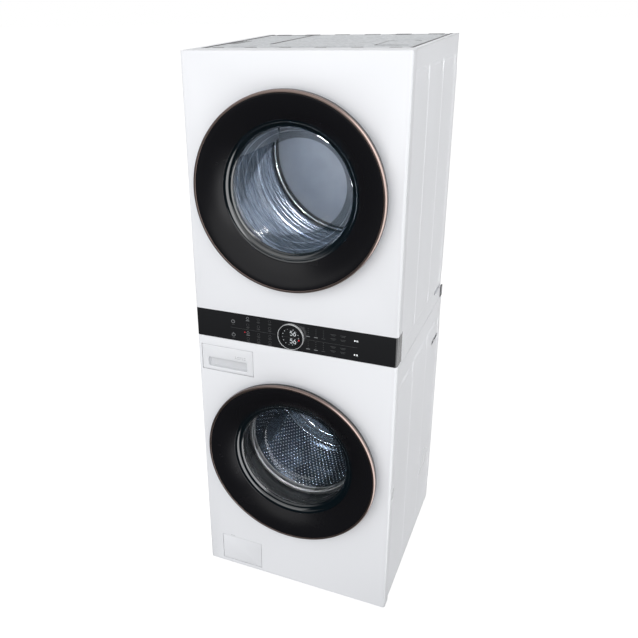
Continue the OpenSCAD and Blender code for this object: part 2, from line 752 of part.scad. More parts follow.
// both runs of the belt and its wrap round drum and pulley; it slides along itself
module belt_outline(drum_edge, pulley_edge) {
    dx = motor_x;
    dz = motor_z - dryer_z;
    reach = norm([dx, dz]);
    heading = atan2(dz, dx);
    lean = acos((drum_edge - pulley_edge) / reach);
    at = function(x, z, r, a) [x + r * cos(a), z + r * sin(a)];
    translate([0, dryer_z]) circle(drum_edge, $fn = 180);
    translate([dx, dryer_z + dz]) circle(pulley_edge, $fn = 48);
    translate([0, dryer_z]) polygon([
        at(0, 0, drum_edge, heading + lean), at(dx, dz, pulley_edge, heading + lean),
        at(dx, dz, pulley_edge, heading - lean), at(0, 0, drum_edge, heading - lean)
    ]);
}

module drive_belt() color(black) on_face() translate([0, belt_y1, 0]) rotate([90, 0, 0])
    linear_extrude(belt_y1 - belt_y0) difference() {
        belt_outline(dry_drum_r + 2.4, 14.4);
        belt_outline(dry_drum_r + 0.4, 12.4);
    }

module heater_box() color(zinc) on_face() difference() {
    union() {
        block([-290, 400, 975], [-120, 640, 1110]);
        block([-230, 608, 1110], [-60, 640, 1600]);
    }
    block([-288, 399, 977], [-122, 638, 1108]);
    block([-228, 607, 1100], [-62, 638, 1598]);
}

cord_hole_r = 6;

module terminal_cover() color(black) on_face() difference() {
    block([190, upper_d - 1.5, 1080], [290, upper_d + 16, 1180]);
    block([194, upper_d - 2, 1084], [286, upper_d + 13, 1176]);
    bar_y(240, 1100, cord_hole_r, upper_d + 12, upper_d + 17);
}

module lint_filter() color(plastic_grey) on_face() {
    difference() {
        block([-108, 47.5, 1170], [108, 58.5, 1262]);
        for (x = [-102 : 26 : 80]) block([x, 47, 1176], [x + 22, 59, 1244]);
    }
    // mesh
    block([-108, 52, 1172], [108, 53, 1250]);
}

// ---- levelling feet ----

module foot(x, y) translate([x, y, 0]) {
    cylinder(r = foot_r, h = 6);
    translate([0, 0, 6 - eps]) cylinder(r = 9, h = 6, $fn = 6);
    cylinder(r = stud_r, h = 46);
}

module foot_front_left() color(black) on_face() foot(-foot_x, foot_front_y);
module foot_front_right() color(black) on_face() foot(foot_x, foot_front_y);
module foot_rear_left() color(black) on_face() foot(-foot_x, foot_rear_y);
module foot_rear_right() color(black) on_face() foot(foot_x, foot_rear_y);

base_pan();
lower_left_side();
lower_right_side();
lower_front_panel();
lower_rear_panel();
deck();
upper_left_side();
upper_right_side();
upper_front_panel();
upper_rear_panel();
top_front_strip();
top_plate();
control_fascia();
display_module();
door_hardware();
dispenser_housing();
boot_gasket();
drain_pump();
inlet_valves();
damper_tubes();
suspension_springs();
terminal_cover();
dryer_front_bulkhead();
dryer_rear_bulkhead();
heater_box();
exhaust_duct();
dryer_motor();
drive_belt();
tub_front();
tub_rear();
tub_bearings();
counterweights();
motor_stator();
damper_rods();
washer_drum();
drum_lifters();
drum_spider();
motor_rotor();
dryer_drum();
dryer_baffles();
blower_wheel();
roller_left();
roller_right();
lower_door_bezel();
lower_door_trim();
lower_door_frame();
lower_door_glass();
upper_door_bezel();
upper_door_trim();
upper_door_frame();
upper_door_glass();
detergent_drawer();
cycle_dial();
filter_flap();
filter_cap();
lint_filter();
foot_front_left();
foot_front_right();
foot_rear_left();
foot_rear_right();
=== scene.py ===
"""Looks of a washer dryer stack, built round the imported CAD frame.

Lengths are in millimetres in "face" coordinates, as in the CAD source: X to the right, Y rearwards
from the outside of the front panels, Z up from the floor. at() turns them into the frame's metres.
"""
import json
import math
import random

import bmesh
import bpy
from mathutils import Matrix, Vector

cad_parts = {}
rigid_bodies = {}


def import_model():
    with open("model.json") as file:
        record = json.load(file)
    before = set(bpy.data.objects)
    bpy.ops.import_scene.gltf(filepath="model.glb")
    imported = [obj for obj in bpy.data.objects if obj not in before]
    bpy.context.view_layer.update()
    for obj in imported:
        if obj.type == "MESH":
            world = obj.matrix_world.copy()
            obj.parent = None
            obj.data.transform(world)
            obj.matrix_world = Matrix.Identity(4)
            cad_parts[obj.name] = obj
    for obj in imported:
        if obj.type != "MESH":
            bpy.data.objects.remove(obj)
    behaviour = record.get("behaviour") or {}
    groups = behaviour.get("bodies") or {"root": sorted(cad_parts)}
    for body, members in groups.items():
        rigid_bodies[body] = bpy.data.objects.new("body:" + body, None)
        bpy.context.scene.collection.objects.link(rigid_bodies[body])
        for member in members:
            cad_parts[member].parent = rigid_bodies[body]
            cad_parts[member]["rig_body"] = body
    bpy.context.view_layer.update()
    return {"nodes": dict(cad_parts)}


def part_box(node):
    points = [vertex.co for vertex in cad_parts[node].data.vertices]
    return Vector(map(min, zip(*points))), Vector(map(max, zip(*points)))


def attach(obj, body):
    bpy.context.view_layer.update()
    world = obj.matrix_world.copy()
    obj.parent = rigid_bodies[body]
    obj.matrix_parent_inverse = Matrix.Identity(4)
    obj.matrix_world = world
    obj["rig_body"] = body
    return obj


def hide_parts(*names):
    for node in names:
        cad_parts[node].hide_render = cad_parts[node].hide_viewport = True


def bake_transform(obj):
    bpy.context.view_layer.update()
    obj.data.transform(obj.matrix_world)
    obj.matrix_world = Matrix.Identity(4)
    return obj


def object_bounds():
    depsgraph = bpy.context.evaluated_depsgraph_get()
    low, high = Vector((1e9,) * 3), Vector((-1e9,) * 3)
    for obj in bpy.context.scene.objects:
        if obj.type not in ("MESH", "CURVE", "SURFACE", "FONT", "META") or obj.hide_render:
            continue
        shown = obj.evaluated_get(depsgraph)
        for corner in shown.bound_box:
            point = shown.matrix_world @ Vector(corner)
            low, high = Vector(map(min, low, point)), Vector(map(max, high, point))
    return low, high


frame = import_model()
nodes = frame["nodes"]

# ---- places worked out from the frame ----

MM = 0.001


def box_mm(node):
    """Lowest and highest corner of a CAD node, in face coordinates."""
    low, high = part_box(node)
    return ([low[0] / MM, low[1] / MM - FACE_Y, low[2] / MM],
            [high[0] / MM, high[1] / MM - FACE_Y, high[2] / MM])


FACE_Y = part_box("lower_front_panel")[0][1] / MM


def at(x, y, z):
    return Vector((x * MM, (y + FACE_Y) * MM, z * MM))


def middle(node, axis):
    low, high = box_mm(node)
    return (low[axis] + high[axis]) / 2


HALF_W = box_mm("lower_front_panel")[1][0]
WASHER_Z = middle("lower_door_trim", 2)
DRYER_Z = middle("upper_door_trim", 2)
TRIM_R = box_mm("lower_door_trim")[1][0]
BEZEL_R = box_mm("lower_door_bezel")[1][0]
DOOR_FRONT = box_mm("lower_door_bezel")[0][1]
GLASS_BACK = box_mm("lower_door_glass")[1][1]
WINDOW_R = 190
BAND_LOW, BAND_HIGH = box_mm("control_fascia")
DIAL_Z = middle("cycle_dial", 2)
DIAL_R = box_mm("cycle_dial")[1][0]
SEAM_Z = box_mm("deck")[1][2] - 2
TOP_Z = box_mm("top_plate")[1][2]
LOWER_D = box_mm("lower_left_side")[1][1]
UPPER_D = box_mm("upper_left_side")[1][1]
WRAP_D = box_mm("lower_front_panel")[1][1]

# ---- camera, light and floor ----


def look(yaw, pitch, roll):
    """Camera axes as a rotation: yaw to the left of +Y, pitch down, roll about the view."""
    forward = Vector((-math.sin(yaw) * math.cos(pitch), math.cos(yaw) * math.cos(pitch), -math.sin(pitch)))
    right = Vector((math.cos(yaw), math.sin(yaw), 0))
    up = right.cross(forward)
    level_right = right * math.cos(roll) + up * math.sin(roll)
    level_up = up * math.cos(roll) - right * math.sin(roll)
    return Matrix((level_right, level_up, -forward)).transposed().to_4x4()


def make_camera():
    data = bpy.data.cameras.new("camera")
    data.sensor_width = 36
    data.lens = 42.1
    data.shift_x = 0.1221
    data.shift_y = -0.0205
    data.clip_end = 60
    camera = bpy.data.objects.new("camera", data)
    camera.matrix_world = Matrix.Translation(at(804, -2001, 2055)) @ look(0.4548, 0.4045, -0.0388)
    bpy.context.scene.collection.objects.link(camera)
    bpy.context.scene.camera = camera


def area_light(name, place, target, size, power, colour=(1, 1, 1)):
    data = bpy.data.lights.new(name, "AREA")
    data.shape = "RECTANGLE"
    data.size, data.size_y = size
    data.energy = power
    data.color = colour
    light = bpy.data.objects.new(name, data)
    light.location = place
    light.rotation_euler = (Vector(target) - Vector(place)).to_track_quat("-Z", "Y").to_euler()
    bpy.context.scene.collection.objects.link(light)
    return light


def make_world():
    """White paper for the camera, an even studio for matt surfaces, and a dark one with bright panels for gloss."""
    world = bpy.data.worlds.new("studio")
    bpy.context.scene.world = world
    world.use_nodes = True
    tree = world.node_tree
    tree.nodes.clear()

    def math_node(operation, first, second):
        node = tree.nodes.new("ShaderNodeMath")
        node.operation = operation
        for index, value in enumerate((first, second)):
            if isinstance(value, (int, float)):
                node.inputs[index].default_value = value
            else:
                tree.links.new(value, node.inputs[index])
        return node.outputs[0]

    def ramp(value, start, end, height):
        node = tree.nodes.new("ShaderNodeMapRange")
        node.interpolation_type = "SMOOTHSTEP"
        tree.links.new(value, node.inputs["Value"])
        for name, number in (("From Min", start), ("From Max", end), ("To Min", 0.0), ("To Max", height)):
            node.inputs[name].default_value = number
        return node.outputs["Result"]

    def background(strength):
        node = tree.nodes.new("ShaderNodeBackground")
        node.inputs["Color"].default_value = (0.985, 0.99, 1.0, 1)
        if isinstance(strength, (int, float)):
            node.inputs["Strength"].default_value = strength
        else:
            tree.links.new(strength, node.inputs["Strength"])
        return node.outputs[0]

    def choose(factor, first, second):
        node = tree.nodes.new("ShaderNodeMixShader")
        for index, source in enumerate((factor, first, second)):
            tree.links.new(source, node.inputs[index])
        return node.outputs[0]

    split = tree.nodes.new("ShaderNodeSeparateXYZ")
    tree.links.new(tree.nodes.new("ShaderNodeTexCoord").outputs["Generated"], split.inputs[0])
    x, y, z = (split.outputs[axis] for axis in "XYZ")
    even = SKY_LEVEL
    for value, slope in zip((x, y, z), SKY_SLOPE):
        even = math_node("ADD", math_node("MULTIPLY", value, slope), even)
    panels = 0.02
    for value, start, end, height in ((z, 0.30, 0.85, 1.1), (x, 0.42, 0.62, 4.2), (y, 0.25, 0.9, 0.8)):
        panels = math_node("ADD", ramp(value, start, end, height), panels)
    rays = tree.nodes.new("ShaderNodeLightPath")
    paper = background(1.0)
    paper.node.inputs["Color"].default_value = (1, 1, 1, 1)
    lit = choose(rays.outputs["Is Glossy Ray"], background(even), background(panels))
    seen = choose(rays.outputs["Is Camera Ray"], lit, paper)
    tree.links.new(seen, tree.nodes.new("ShaderNodeOutputWorld").inputs[0])


SKY_LEVEL = 0.55
SKY_SLOPE = (-0.11, -0.22, 0.0)


def make_stage():
    make_world()
    bpy.context.scene.view_settings.view_transform = "Standard"
    area_light("key", (0.0, -3.7, 2.6), (0, -0.4, 1.0), (5.0, 3.4), 82)
    area_light("side", (3.2, -0.4, 3.4), (0.3, 0, 1.5), (2.0, 2.0), 13)
    area_light("top", (0.2, 0.2, 4.6), (0, 0, 1.6), (3.0, 3.0), 6)
    # a pale paper floor that runs out of sight and takes only the faintest shadow
    paper = Paint("paper_floor", (0.22, 0.22, 0.22), 0.9)
    paper.vary_colour(paper.noise(2, 2), 0.02)
    paper.set("Specular IOR Level", 0.0)
    paper.set("Emission Color", (1, 1, 1, 1))
    paper.set("Emission Strength", 0.93)
    reach = 40.0
    corners = [(x / MM, y / MM - FACE_Y, 0) for x, y in ((-reach, -reach), (reach, -reach), (reach, reach), (-reach, reach))]
    floor = piece("paper_floor", corners, [(0, 1, 2, 3)], paper.made, None, smooth=False)
    floor.location.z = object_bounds()[0][2] - 0.0005
    floor.visible_glossy = False
    floor.visible_diffuse = False


# ---- materials ----


class Paint:
    """A Principled material with short names for the nodes that the finishes here share."""

    def __init__(self, name, colour, roughness, metallic=0.0):
        self.made = bpy.data.materials.new(name)
        self.made.use_nodes = True
        self.tree = self.made.node_tree
        self.shader = self.tree.nodes["Principled BSDF"]
        self.colour = colour
        self.roughness = roughness
        self.set("Base Color", (*colour, 1))
        self.set("Roughness", roughness)
        self.set("Metallic", metallic)
        self.coords = self.add("ShaderNodeTexCoord").outputs["Object"]
        self.normal = None

    def add(self, kind, **inputs):
        node = self.tree.nodes.new(kind)
        for key, value in inputs.items():
            node.inputs[key.replace("_", " ")].default_value = value
        return node

    def join(self, source, target):
        self.tree.links.new(source, target)

    def set(self, name, value):
        self.shader.inputs[name].default_value = value

    def stretched(self, scale):
        mapping = self.add("ShaderNodeMapping")
        mapping.inputs["Scale"].default_value = scale
        self.join(self.coords, mapping.inputs["Vector"])
        return mapping.outputs["Vector"]

    def noise(self, scale, detail=3.0, stretch=None):
        node = self.add("ShaderNodeTexNoise", Scale=scale, Detail=detail)
        self.join(self.stretched(stretch) if stretch else self.coords, node.inputs["Vector"])
        return node.outputs["Fac"]

    def ranged(self, value, low, high, from_low=0.3, from_high=0.7):
        node = self.add("ShaderNodeMapRange", From_Min=from_low, From_Max=from_high, To_Min=low, To_Max=high)
        self.join(value, node.inputs["Value"])
        return node.outputs["Result"]

    def vary_colour(self, value, spread):
        mix = self.tree.nodes.new("ShaderNodeMix")
        mix.data_type = "RGBA"
        mix.inputs[6].default_value = (*[c * (1 - spread) for c in self.colour], 1)
        mix.inputs[7].default_value = (*[min(1, c * (1 + spread)) for c in self.colour], 1)
        self.join(self.ranged(value, 0, 1), mix.inputs["Factor"])
        self.join(mix.outputs[2], self.shader.inputs["Base Color"])

    def vary_roughness(self, value, spread):
        low, high = self.roughness - spread, self.roughness + spread
        self.join(self.ranged(value, max(0.02, low), high), self.shader.inputs["Roughness"])

    def bump(self, height, strength, distance):
        node = self.add("ShaderNodeBump", Strength=strength, Distance=distance)
        self.join(height, node.inputs["Height"])
        if self.normal:
            self.join(self.normal, node.inputs["Normal"])
        self.normal = node.outputs["Normal"]
        self.join(self.normal, self.shader.inputs["Normal"])


def enamel(name="enamel", colour=(0.83, 0.84, 0.865)):
    """Glossy white stove enamel: faint orange peel and slow shifts in tone."""
    p = Paint(name, colour, 0.30)
    p.vary_colour(p.noise(1.4, 2), 0.010)
    p.vary_roughness(p.noise(3, 2), 0.03)
    p.bump(p.noise(240, 1), 0.012, 0.0003)
    return p.made


def zinc(name="zinc", colour=(0.50, 0.52, 0.54)):
    """Galvanised sheet with its crystal spangle."""
    p = Paint(name, colour, 0.40, 0.85)
    cells = p.add("ShaderNodeTexVoronoi", Scale=95.0)
    p.join(p.coords, cells.inputs["Vector"])
    grey = p.add("ShaderNodeSeparateColor")
    p.join(cells.outputs["Color"], grey.inputs["Color"])
    p.vary_colour(grey.outputs["Red"], 0.10)
    p.vary_roughness(grey.outputs["Green"], 0.07)
    p.bump(p.noise(260, 3), 0.06, 0.0005)
    return p.made


def gloss_black(name, colour=(0.003, 0.003, 0.0035), roughness=0.16, shine=0.16):
    """Piano black, with the slight haze of handling."""
    p = Paint(name, colour, roughness)
    p.vary_roughness(p.noise(9, 5), 0.035)
    p.bump(p.noise(300, 2), 0.02, 0.0002)
    p.set("Specular IOR Level", shine)
    return p.made


def spun_metal(name, colour, roughness, stretch=(1, 1, 40), scale=30, grain=0.10, metallic=1.0, dents=0.06):
    """Metal with fine drawn lines along one way."""
    p = Paint(name, colour, roughness, metallic)
    lines = p.noise(scale, 4, stretch)
    p.vary_colour(lines, grain)
    p.vary_roughness(lines, 0.06)
    p.bump(lines, dents, 0.0003)
    return p.made


def moulded(name, colour, roughness=0.45):
    """Moulded plastic with a fine spark-eroded grain."""
    p = Paint(name, colour, roughness)
    p.vary_colour(p.noise(5, 3), 0.05)
    p.vary_roughness(p.noise(500, 2), 0.06)
    p.bump(p.noise(900, 2), 0.12, 0.0003)
    return p.made


def rubber(name, colour):
    p = Paint(name, colour, 0.68)
    p.vary_colour(p.noise(12, 5), 0.12)
    p.bump(p.noise(700, 3), 0.18, 0.0004)
    p.set("Sheen Weight", 0.15)
    return p.made


def concrete():
    p = Paint("concrete", (0.34, 0.33, 0.31), 0.9)
    p.vary_colour(p.noise(70, 6), 0.22)
    p.bump(p.noise(160, 6), 0.5, 0.002)
    return p.made


def winding():
    """Enamelled copper wire wound side by side."""
    p = Paint("winding", (0.62, 0.27, 0.11), 0.32, 0.9)
    turns = p.add("ShaderNodeTexWave", Scale=160.0, Distortion=1.2)
    p.join(p.coords, turns.inputs["Vector"])
    p.vary_colour(turns.outputs["Fac"], 0.25)
    p.bump(turns.outputs["Fac"], 0.5, 0.0008)
    return p.made


def clear_glass(name, tint, alpha):
    """Moulded glass: it turns more mirror-like towards the edges of the bowl."""
    p = Paint(name, tint, 0.04)
    edge = p.add("ShaderNodeFresnel", IOR=1.5)
    p.join(p.ranged(edge.outputs["Fac"], alpha, 0.62, 0.05, 0.8), p.shader.inputs["Alpha"])
    p.bump(p.noise(14, 2), 0.03, 0.002)
    p.set("Specular IOR Level", 0.9)
    return p.made


def glowing(name, colour, strength):
    p = Paint(name, colour, 0.4)
    p.vary_colour(p.noise(900, 1), 0.04)
    p.set("Emission Color", (*colour, 1))
    p.set("Emission Strength", strength)
    return p.made


def ink(name, colour):
    p = Paint(name, colour, 0.5)
    p.vary_colour(p.noise(700, 2), 0.06)
    return p.made


WHITE = enamel()
SATIN_WHITE = moulded("satin_white", (0.80, 0.81, 0.835), 0.34)
ZINC = zinc()
TOP_ZINC = zinc("top_zinc", (0.46, 0.475, 0.49))
# dark zinc for the folded tabs, the clips and the recess on the top: painted shade at them
SHADE_ZINC = zinc("shade_dark_zinc", (0.16, 0.165, 0.17))
BEZEL_BLACK = gloss_black("bezel_black", (0.007, 0.007, 0.0085), 0.25, 0.17)
RING_BLACK = gloss_black("window_ring", (0.002, 0.006, 0.009), 0.07, 0.8)
FASCIA_BLACK = gloss_black("fascia_black", (0.016, 0.0165, 0.018), 0.14, 0.4)
BRONZE = spun_metal("bronze", (0.22, 0.168, 0.150), 0.33, (1, 1, 1), 6, 0.03, 0.9, 0.0)
DIAL_RIM = spun_metal("dial_rim", (0.72, 0.73, 0.74), 0.38, (1, 1, 1), 6, 0.03, 0.35, 0.0)
CHROME = spun_metal("chrome", (0.78, 0.79, 0.80), 0.12, (1, 1, 1), 6, 0.03, dents=0.0)
STEEL = spun_metal("plated_steel", (0.50, 0.51, 0.52), 0.32)
STAINLESS = spun_metal("stainless", (0.28, 0.32, 0.37), 0.15, (1, 1, 1), 90, 0.14, 0.94, 0.6)
DRUM_SHEET = spun_metal("drum_sheet", (0.26, 0.30, 0.36), 0.26, (2, 60, 2), 8, 0.14, 0.8)
BACK_SHEET = spun_metal("back_sheet", (0.40, 0.43, 0.48), 0.42, (2, 2, 2), 10, 0.06, 0.45)
CASTING = spun_metal("casting", (0.42, 0.43, 0.44), 0.55, (1, 1, 1), 90, 0.12)
GREY = moulded("grey_plastic", (0.42, 0.43, 0.45))
PALE_GREY = moulded("pale_grey_plastic", (0.58, 0.59, 0.60), 0.38)
DARK = moulded("dark_plastic", (0.022, 0.022, 0.025))
BOOT = rubber("boot_rubber", (0.07, 0.075, 0.08))
BLACK_RUBBER = rubber("black_rubber", (0.02, 0.02, 0.022))
CONCRETE = concrete()
COPPER = winding()
GLASS = clear_glass("dryer_glass", (0.018, 0.035, 0.046), 0.12)
DARK_GLASS = clear_glass("washer_glass", (0.006, 0.010, 0.014), 0.20)
PRINT = ink("grey_print", (0.27, 0.28, 0.29))
PALE_PRINT = ink("pale_print", (0.50, 0.51, 0.52))
FAINT_PRINT = ink("faint_print", (0.060, 0.062, 0.065))
FIGURES = glowing("lit_figures", (0.55, 0.58, 0.60), 0.35)
LAMP_WHITE = glowing("white_lamp", (0.85, 0.88, 0.9), 0.6)
RED_LAMP = glowing("red_lamp", (0.7, 0.02, 0.03), 0.8)
FELT = rubber("felt", (0.28, 0.27, 0.26))
BAFFLE_GREY = moulded("baffle_grey", (0.16, 0.18, 0.21), 0.35)

# ---- mesh helpers ----


def piece(name, verts, faces, paint, body="root", smooth=True, replaces=(), slot=None):
    """A new mesh piece from face-coordinate points, riding on a body."""
    mesh = bpy.data.meshes.new(name)
    mesh.from_pydata([at(*v) for v in verts], [], faces)
    tidy = bmesh.new()
    tidy.from_mesh(mesh)
    bmesh.ops.remove_doubles(tidy, verts=tidy.verts, dist=1e-6)
    bmesh.ops.recalc_face_normals(tidy, faces=tidy.faces)
    tidy.to_mesh(mesh)
    tidy.free()
    mesh.materials.append(paint)
    made = bpy.data.objects.new(name, mesh)
    bpy.context.scene.collection.objects.link(made)
    if smooth:
        mesh.shade_smooth()
        mesh.set_sharp_from_angle(angle=math.radians(34))
    if body:
        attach(made, body)
    if replaces:
        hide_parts(*replaces)
    return made


def lathe(name, outline, z, paint, body, x=0.0, steps=160, **how):
    """A closed outline of (radius, depth) points turned about a line along Y."""
    verts, faces, rings = [], [], []
    for r, depth in outline:
        start = len(verts)
        count = 1 if r == 0 else steps
        for i in range(count):
            a = 2 * math.pi * i / steps
            verts.append((x + r * math.cos(a), depth, z + r * math.sin(a)))
        rings.append((start, count))
    for (a0, a_count), (b0, b_count) in zip(rings, rings[1:] + rings[:1]):
        if a_count == 1 and b_count == 1:
            continue
        for i in range(steps):
            j = (i + 1) % steps
            if a_count == 1:
                faces.append((a0, b0 + j, b0 + i))
            elif b_count == 1:
                faces.append((a0 + i, a0 + j, b0))
            else:
                faces.append((a0 + i, a0 + j, b0 + j, b0 + i))
    return piece(name, verts, faces, paint, body, **how)


def arc(centre, radius, start, end, count):
    """Points of an arc in an outline, angles in degrees."""
    return [(centre[0] + radius * math.cos(math.radians(start + (end - start) * i / count)),
             centre[1] + radius * math.sin(math.radians(start + (end - start) * i / count)))
            for i in range(count + 1)]


def rounded(points, radius, count=5):
    """A closed outline with every corner rounded."""
    out = []
    for i, here in enumerate(points):
        before, after = points[i - 1], points[(i + 1) % len(points)]
        p, q = Vector(before) - Vector(here), Vector(after) - Vector(here)
        cut = min(radius, p.length * 0.45, q.length * 0.45)
        a, b = Vector(here) + p.normalized() * cut, Vector(here) + q.normalized() * cut
        for k in range(count + 1):
            t = k / count
            out.append(tuple(a * (1 - t) ** 2 + Vector(here) * 2 * t * (1 - t) + b * t ** 2))
    return out


def soft_box(name, low, high, paint, body="root", bevel=1.0, segments=2, **how):
    """A box with bevelled edges, from its two corners."""
    size = [h - l for l, h in zip(low, high)]
    verts = [(low[0] + size[0] * i, low[1] + size[1] * j, low[2] + size[2] * k)
             for i in (0, 1) for j in (0, 1) for k in (0, 1)]
    faces = [(0, 1, 3, 2), (4, 6, 7, 5), (0, 4, 5, 1), (2, 3, 7, 6), (0, 2, 6, 4), (1, 5, 7, 3)]
    made = piece(name, verts, faces, paint, body, smooth=False, **how)
    width = min(bevel, min(size) * 0.4)
    edit = bmesh.new()
    edit.from_mesh(made.data)
    bmesh.ops.bevel(edit, geom=edit.edges[:], offset=width * MM, segments=segments, affect="EDGES", profile=0.5)
    edit.to_mesh(made.data)
    edit.free()
    made.data.shade_smooth()
    made.data.set_sharp_from_angle(angle=math.radians(34))
    return made


def merge(name, parts):
    """Joins pieces that ride on the same body into one."""
    first = parts[0]
    edit = bmesh.new()
    slots = []
    for part in parts:
        offset = []
        for paint in part.data.materials:
            if paint not in slots:
                slots.append(paint)
            offset.append(slots.index(paint))
        copy = part.data.copy()
        for polygon in copy.polygons:
            polygon.material_index = offset[polygon.material_index]
        edit.from_mesh(copy)
        bpy.data.meshes.remove(copy)
    mesh = bpy.data.meshes.new(name)
    edit.to_mesh(mesh)
    edit.free()
    for paint in slots:
        mesh.materials.append(paint)
    mesh.shade_smooth()
    mesh.set_sharp_from_angle(angle=math.radians(34))
    body = first["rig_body"]
    for part in parts:
        bpy.data.objects.remove(part)
    made = bpy.data.objects.new(name, mesh)
    bpy.context.scene.collection.objects.link(made)
    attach(made, body)
    return made


def extruded(name, outline, y0, y1, paint, body="root", **how):
    """A flat outline in X and Z, between two depths."""
    n = len(outline)
    verts = [(x, y0, z) for x, z in outline] + [(x, y1, z) for x, z in outline]
    faces = [tuple(range(n)), tuple(range(2 * n - 1, n - 1, -1))]
    faces += [(i, n + i, n + (i + 1) % n, (i + 1) % n) for i in range(n)]
    return piece(name, verts, faces, paint, body, **how)


def soft_rect(x0, z0, x1, z1, radius, count=6):
    """Outline of a rectangle with round corners."""
    out = []
    for cx, cz, start in ((x1 - radius, z1 - radius, 0), (x0 + radius, z1 - radius, 90),
                          (x0 + radius, z0 + radius, 180), (x1 - radius, z0 + radius, 270)):
        out += arc((cx, cz), radius, start, start + 90, count)
    return out


def ring_outline(name, outer, inner, y0, y1, paint, body="root", **how):
    """A frame between two outlines with the same number of points."""
    n = len(outer)
    verts = [(x, y, z) for y in (y0, y1) for line in (outer, inner) for x, z in line]
    faces = []
    for i in range(n):
        j = (i + 1) % n
        faces += [(i, j, n + j, n + i), (2 * n + i, 3 * n + i, 3 * n + j, 2 * n + j),
                  (i, 2 * n + i, 2 * n + j, j), (n + i, n + j, 3 * n + j, 3 * n + i)]
    return piece(name, verts, faces, paint, body, **how)


def paint_node(node, paint, bevel=0.0):
    """Gives a CAD node its material, and soft edges and smooth shading by modifiers."""
    made = nodes[node]
    made.data.materials.clear()
    made.data.materials.append(paint)
    made.data.shade_smooth()
    weld = made.modifiers.new("weld", "WELD")
    weld.merge_threshold = 2e-6
    if bevel:
        soft = made.modifiers.new("soft_edges", "BEVEL")
        soft.width = bevel * MM
        soft.segments = 2
        soft.limit_method = "ANGLE"
        soft.angle_limit = math.radians(50)
        soft.harden_normals = False
    crease = made.modifiers.new("crease", "EDGE_SPLIT")
    crease.split_angle = math.radians(33)


# ---- doors ----

def dish(r):
    """Depth of the dished bezel: nearly flat by the rim, steeper by the window."""
    return DOOR_FRONT + (5 - DOOR_FRONT) * ((BEZEL_R - r) / (BEZEL_R - WINDOW_R)) ** 1.6


def make_door(level, z):
    body = level + "_door"
    glass = GLASS if level == "upper" else DARK_GLASS
    lip = WINDOW_R + 26
    # dished bezel: rolled rim, the dish, then a rolled lip with a dark ring inside it
    front = [(BEZEL_R, DOOR_FRONT + 1.5), (BEZEL_R - 0.6, DOOR_FRONT + 0.4), (BEZEL_R - 2, DOOR_FRONT + 0.15)]
    count = 40
    for i in range(1, count):
        r = BEZEL_R - 2 - (BEZEL_R - 2 - lip) * i / count
        front.append((r, dish(r) + 0.15))
    end = dish(lip)
    front += [(lip, end), (lip - 1.0, end + 0.8), (lip - 1.6, end + 2.4), (lip - 1.7, end + 4.2)]
    back = [(lip + 4, end + 9.6)]
    for i in range(12, 0, -1):
        r = BEZEL_R - 3 - (BEZEL_R - 3 - lip - 5) * i / 12
        back.append((r, dish(r) + 4.4))
    back += [(BEZEL_R - 3, DOOR_FRONT + 4), (BEZEL_R - 3, -21), (BEZEL_R, -21)]
    bezel = lathe(level + "_bezel_dish", front + back, z, BEZEL_BLACK, body, steps=192)
    # the ring steps inwards in two shallow terraces
    inner = end + 4.0
    ring = [(lip - 1.7, inner), (lip - 6, inner + 1.6), (lip - 8, inner + 1.5), (lip - 9, inner + 3.4),
            (lip - 19, inner + 9.4), (lip - 21, inner + 9.4), (lip - 22, inner + 11.4), (WINDOW_R + 0.6, 5.2),
            (WINDOW_R, 6.2), (WINDOW_R, 8.8), (WINDOW_R + 6, 8.8), (lip - 8, inner + 9.5), (lip + 3, inner + 5.6),
            (lip - 1.0, inner + 0.6)]
    terrace = lathe(level + "_window_ring", ring, z, RING_BLACK, body, steps=192)
    made = merge(level + "_bezel", [bezel, terrace])
    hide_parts(level + "_door_bezel")
    # trim: a satin bronze face inside a thin black band
    face = rounded([(BEZEL_R, DOOR_FRONT), (TRIM_R - 3.4, DOOR_FRONT), (TRIM_R - 0.4, DOOR_FRONT + 4.0),
                    (TRIM_R - 0.4, DOOR_FRONT + 11), (TRIM_R - 1.9, DOOR_FRONT + 12), (TRIM_R - 1.9, -21.4),
                    (BEZEL_R, -21.4)], 1.4)
    band = rounded([(TRIM_R - 2.1, DOOR_FRONT + 11.5), (TRIM_R - 0.6, DOOR_FRONT + 11.5), (TRIM_R, DOOR_FRONT + 12.5),
                    (TRIM_R, -25), (TRIM_R - 3.5, -21), (TRIM_R - 2.1, -21)], 0.5)
    made = merge(level + "_trim", [lathe(level + "_trim_face", face, z, BRONZE, body, steps=192),
                                   lathe(level + "_trim_band", band, z, FASCIA_BLACK, body, steps=192)])
    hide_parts(level + "_door_trim")
    # glass bowl with a rolled flange, two beads on its wall and a domed floor
    bowl = [(199.5, 9), (199.5, 14), (193, 15)]
    wall = [(191.5, 17), (187.5, 26), (186.6, 30), (184.6, 31), (180, 44), (175, 56), (173.6, 60), (171.4, 61),
            (166, 73), (158, 88), (152, 98), (146.5, 104.4), (139, 108)]
    bowl += wall + [(110, 110.4), (60, 111.6), (0, GLASS_BACK)]
    bowl += [(0, 107.5), (60, 107), (108, 106), (136, 103.8), (143.5, 100.2), (149, 94), (156, 83),
             (166, 65), (174, 47.5), (182, 27.5), (187, 15), (187.5, 9.2)]
    lathe(level + "_bowl", bowl, z, glass, body, steps=160, replaces=[level + "_door_glass"], slot="door_glass")


# ---- cabinet skins ----


SIDE_RELIEF = 3.5


def stepped(value, low, high):
    t = max(0.0, min(1.0, (value - low) / (high - low)))
    return t * t * (3 - 2 * t)


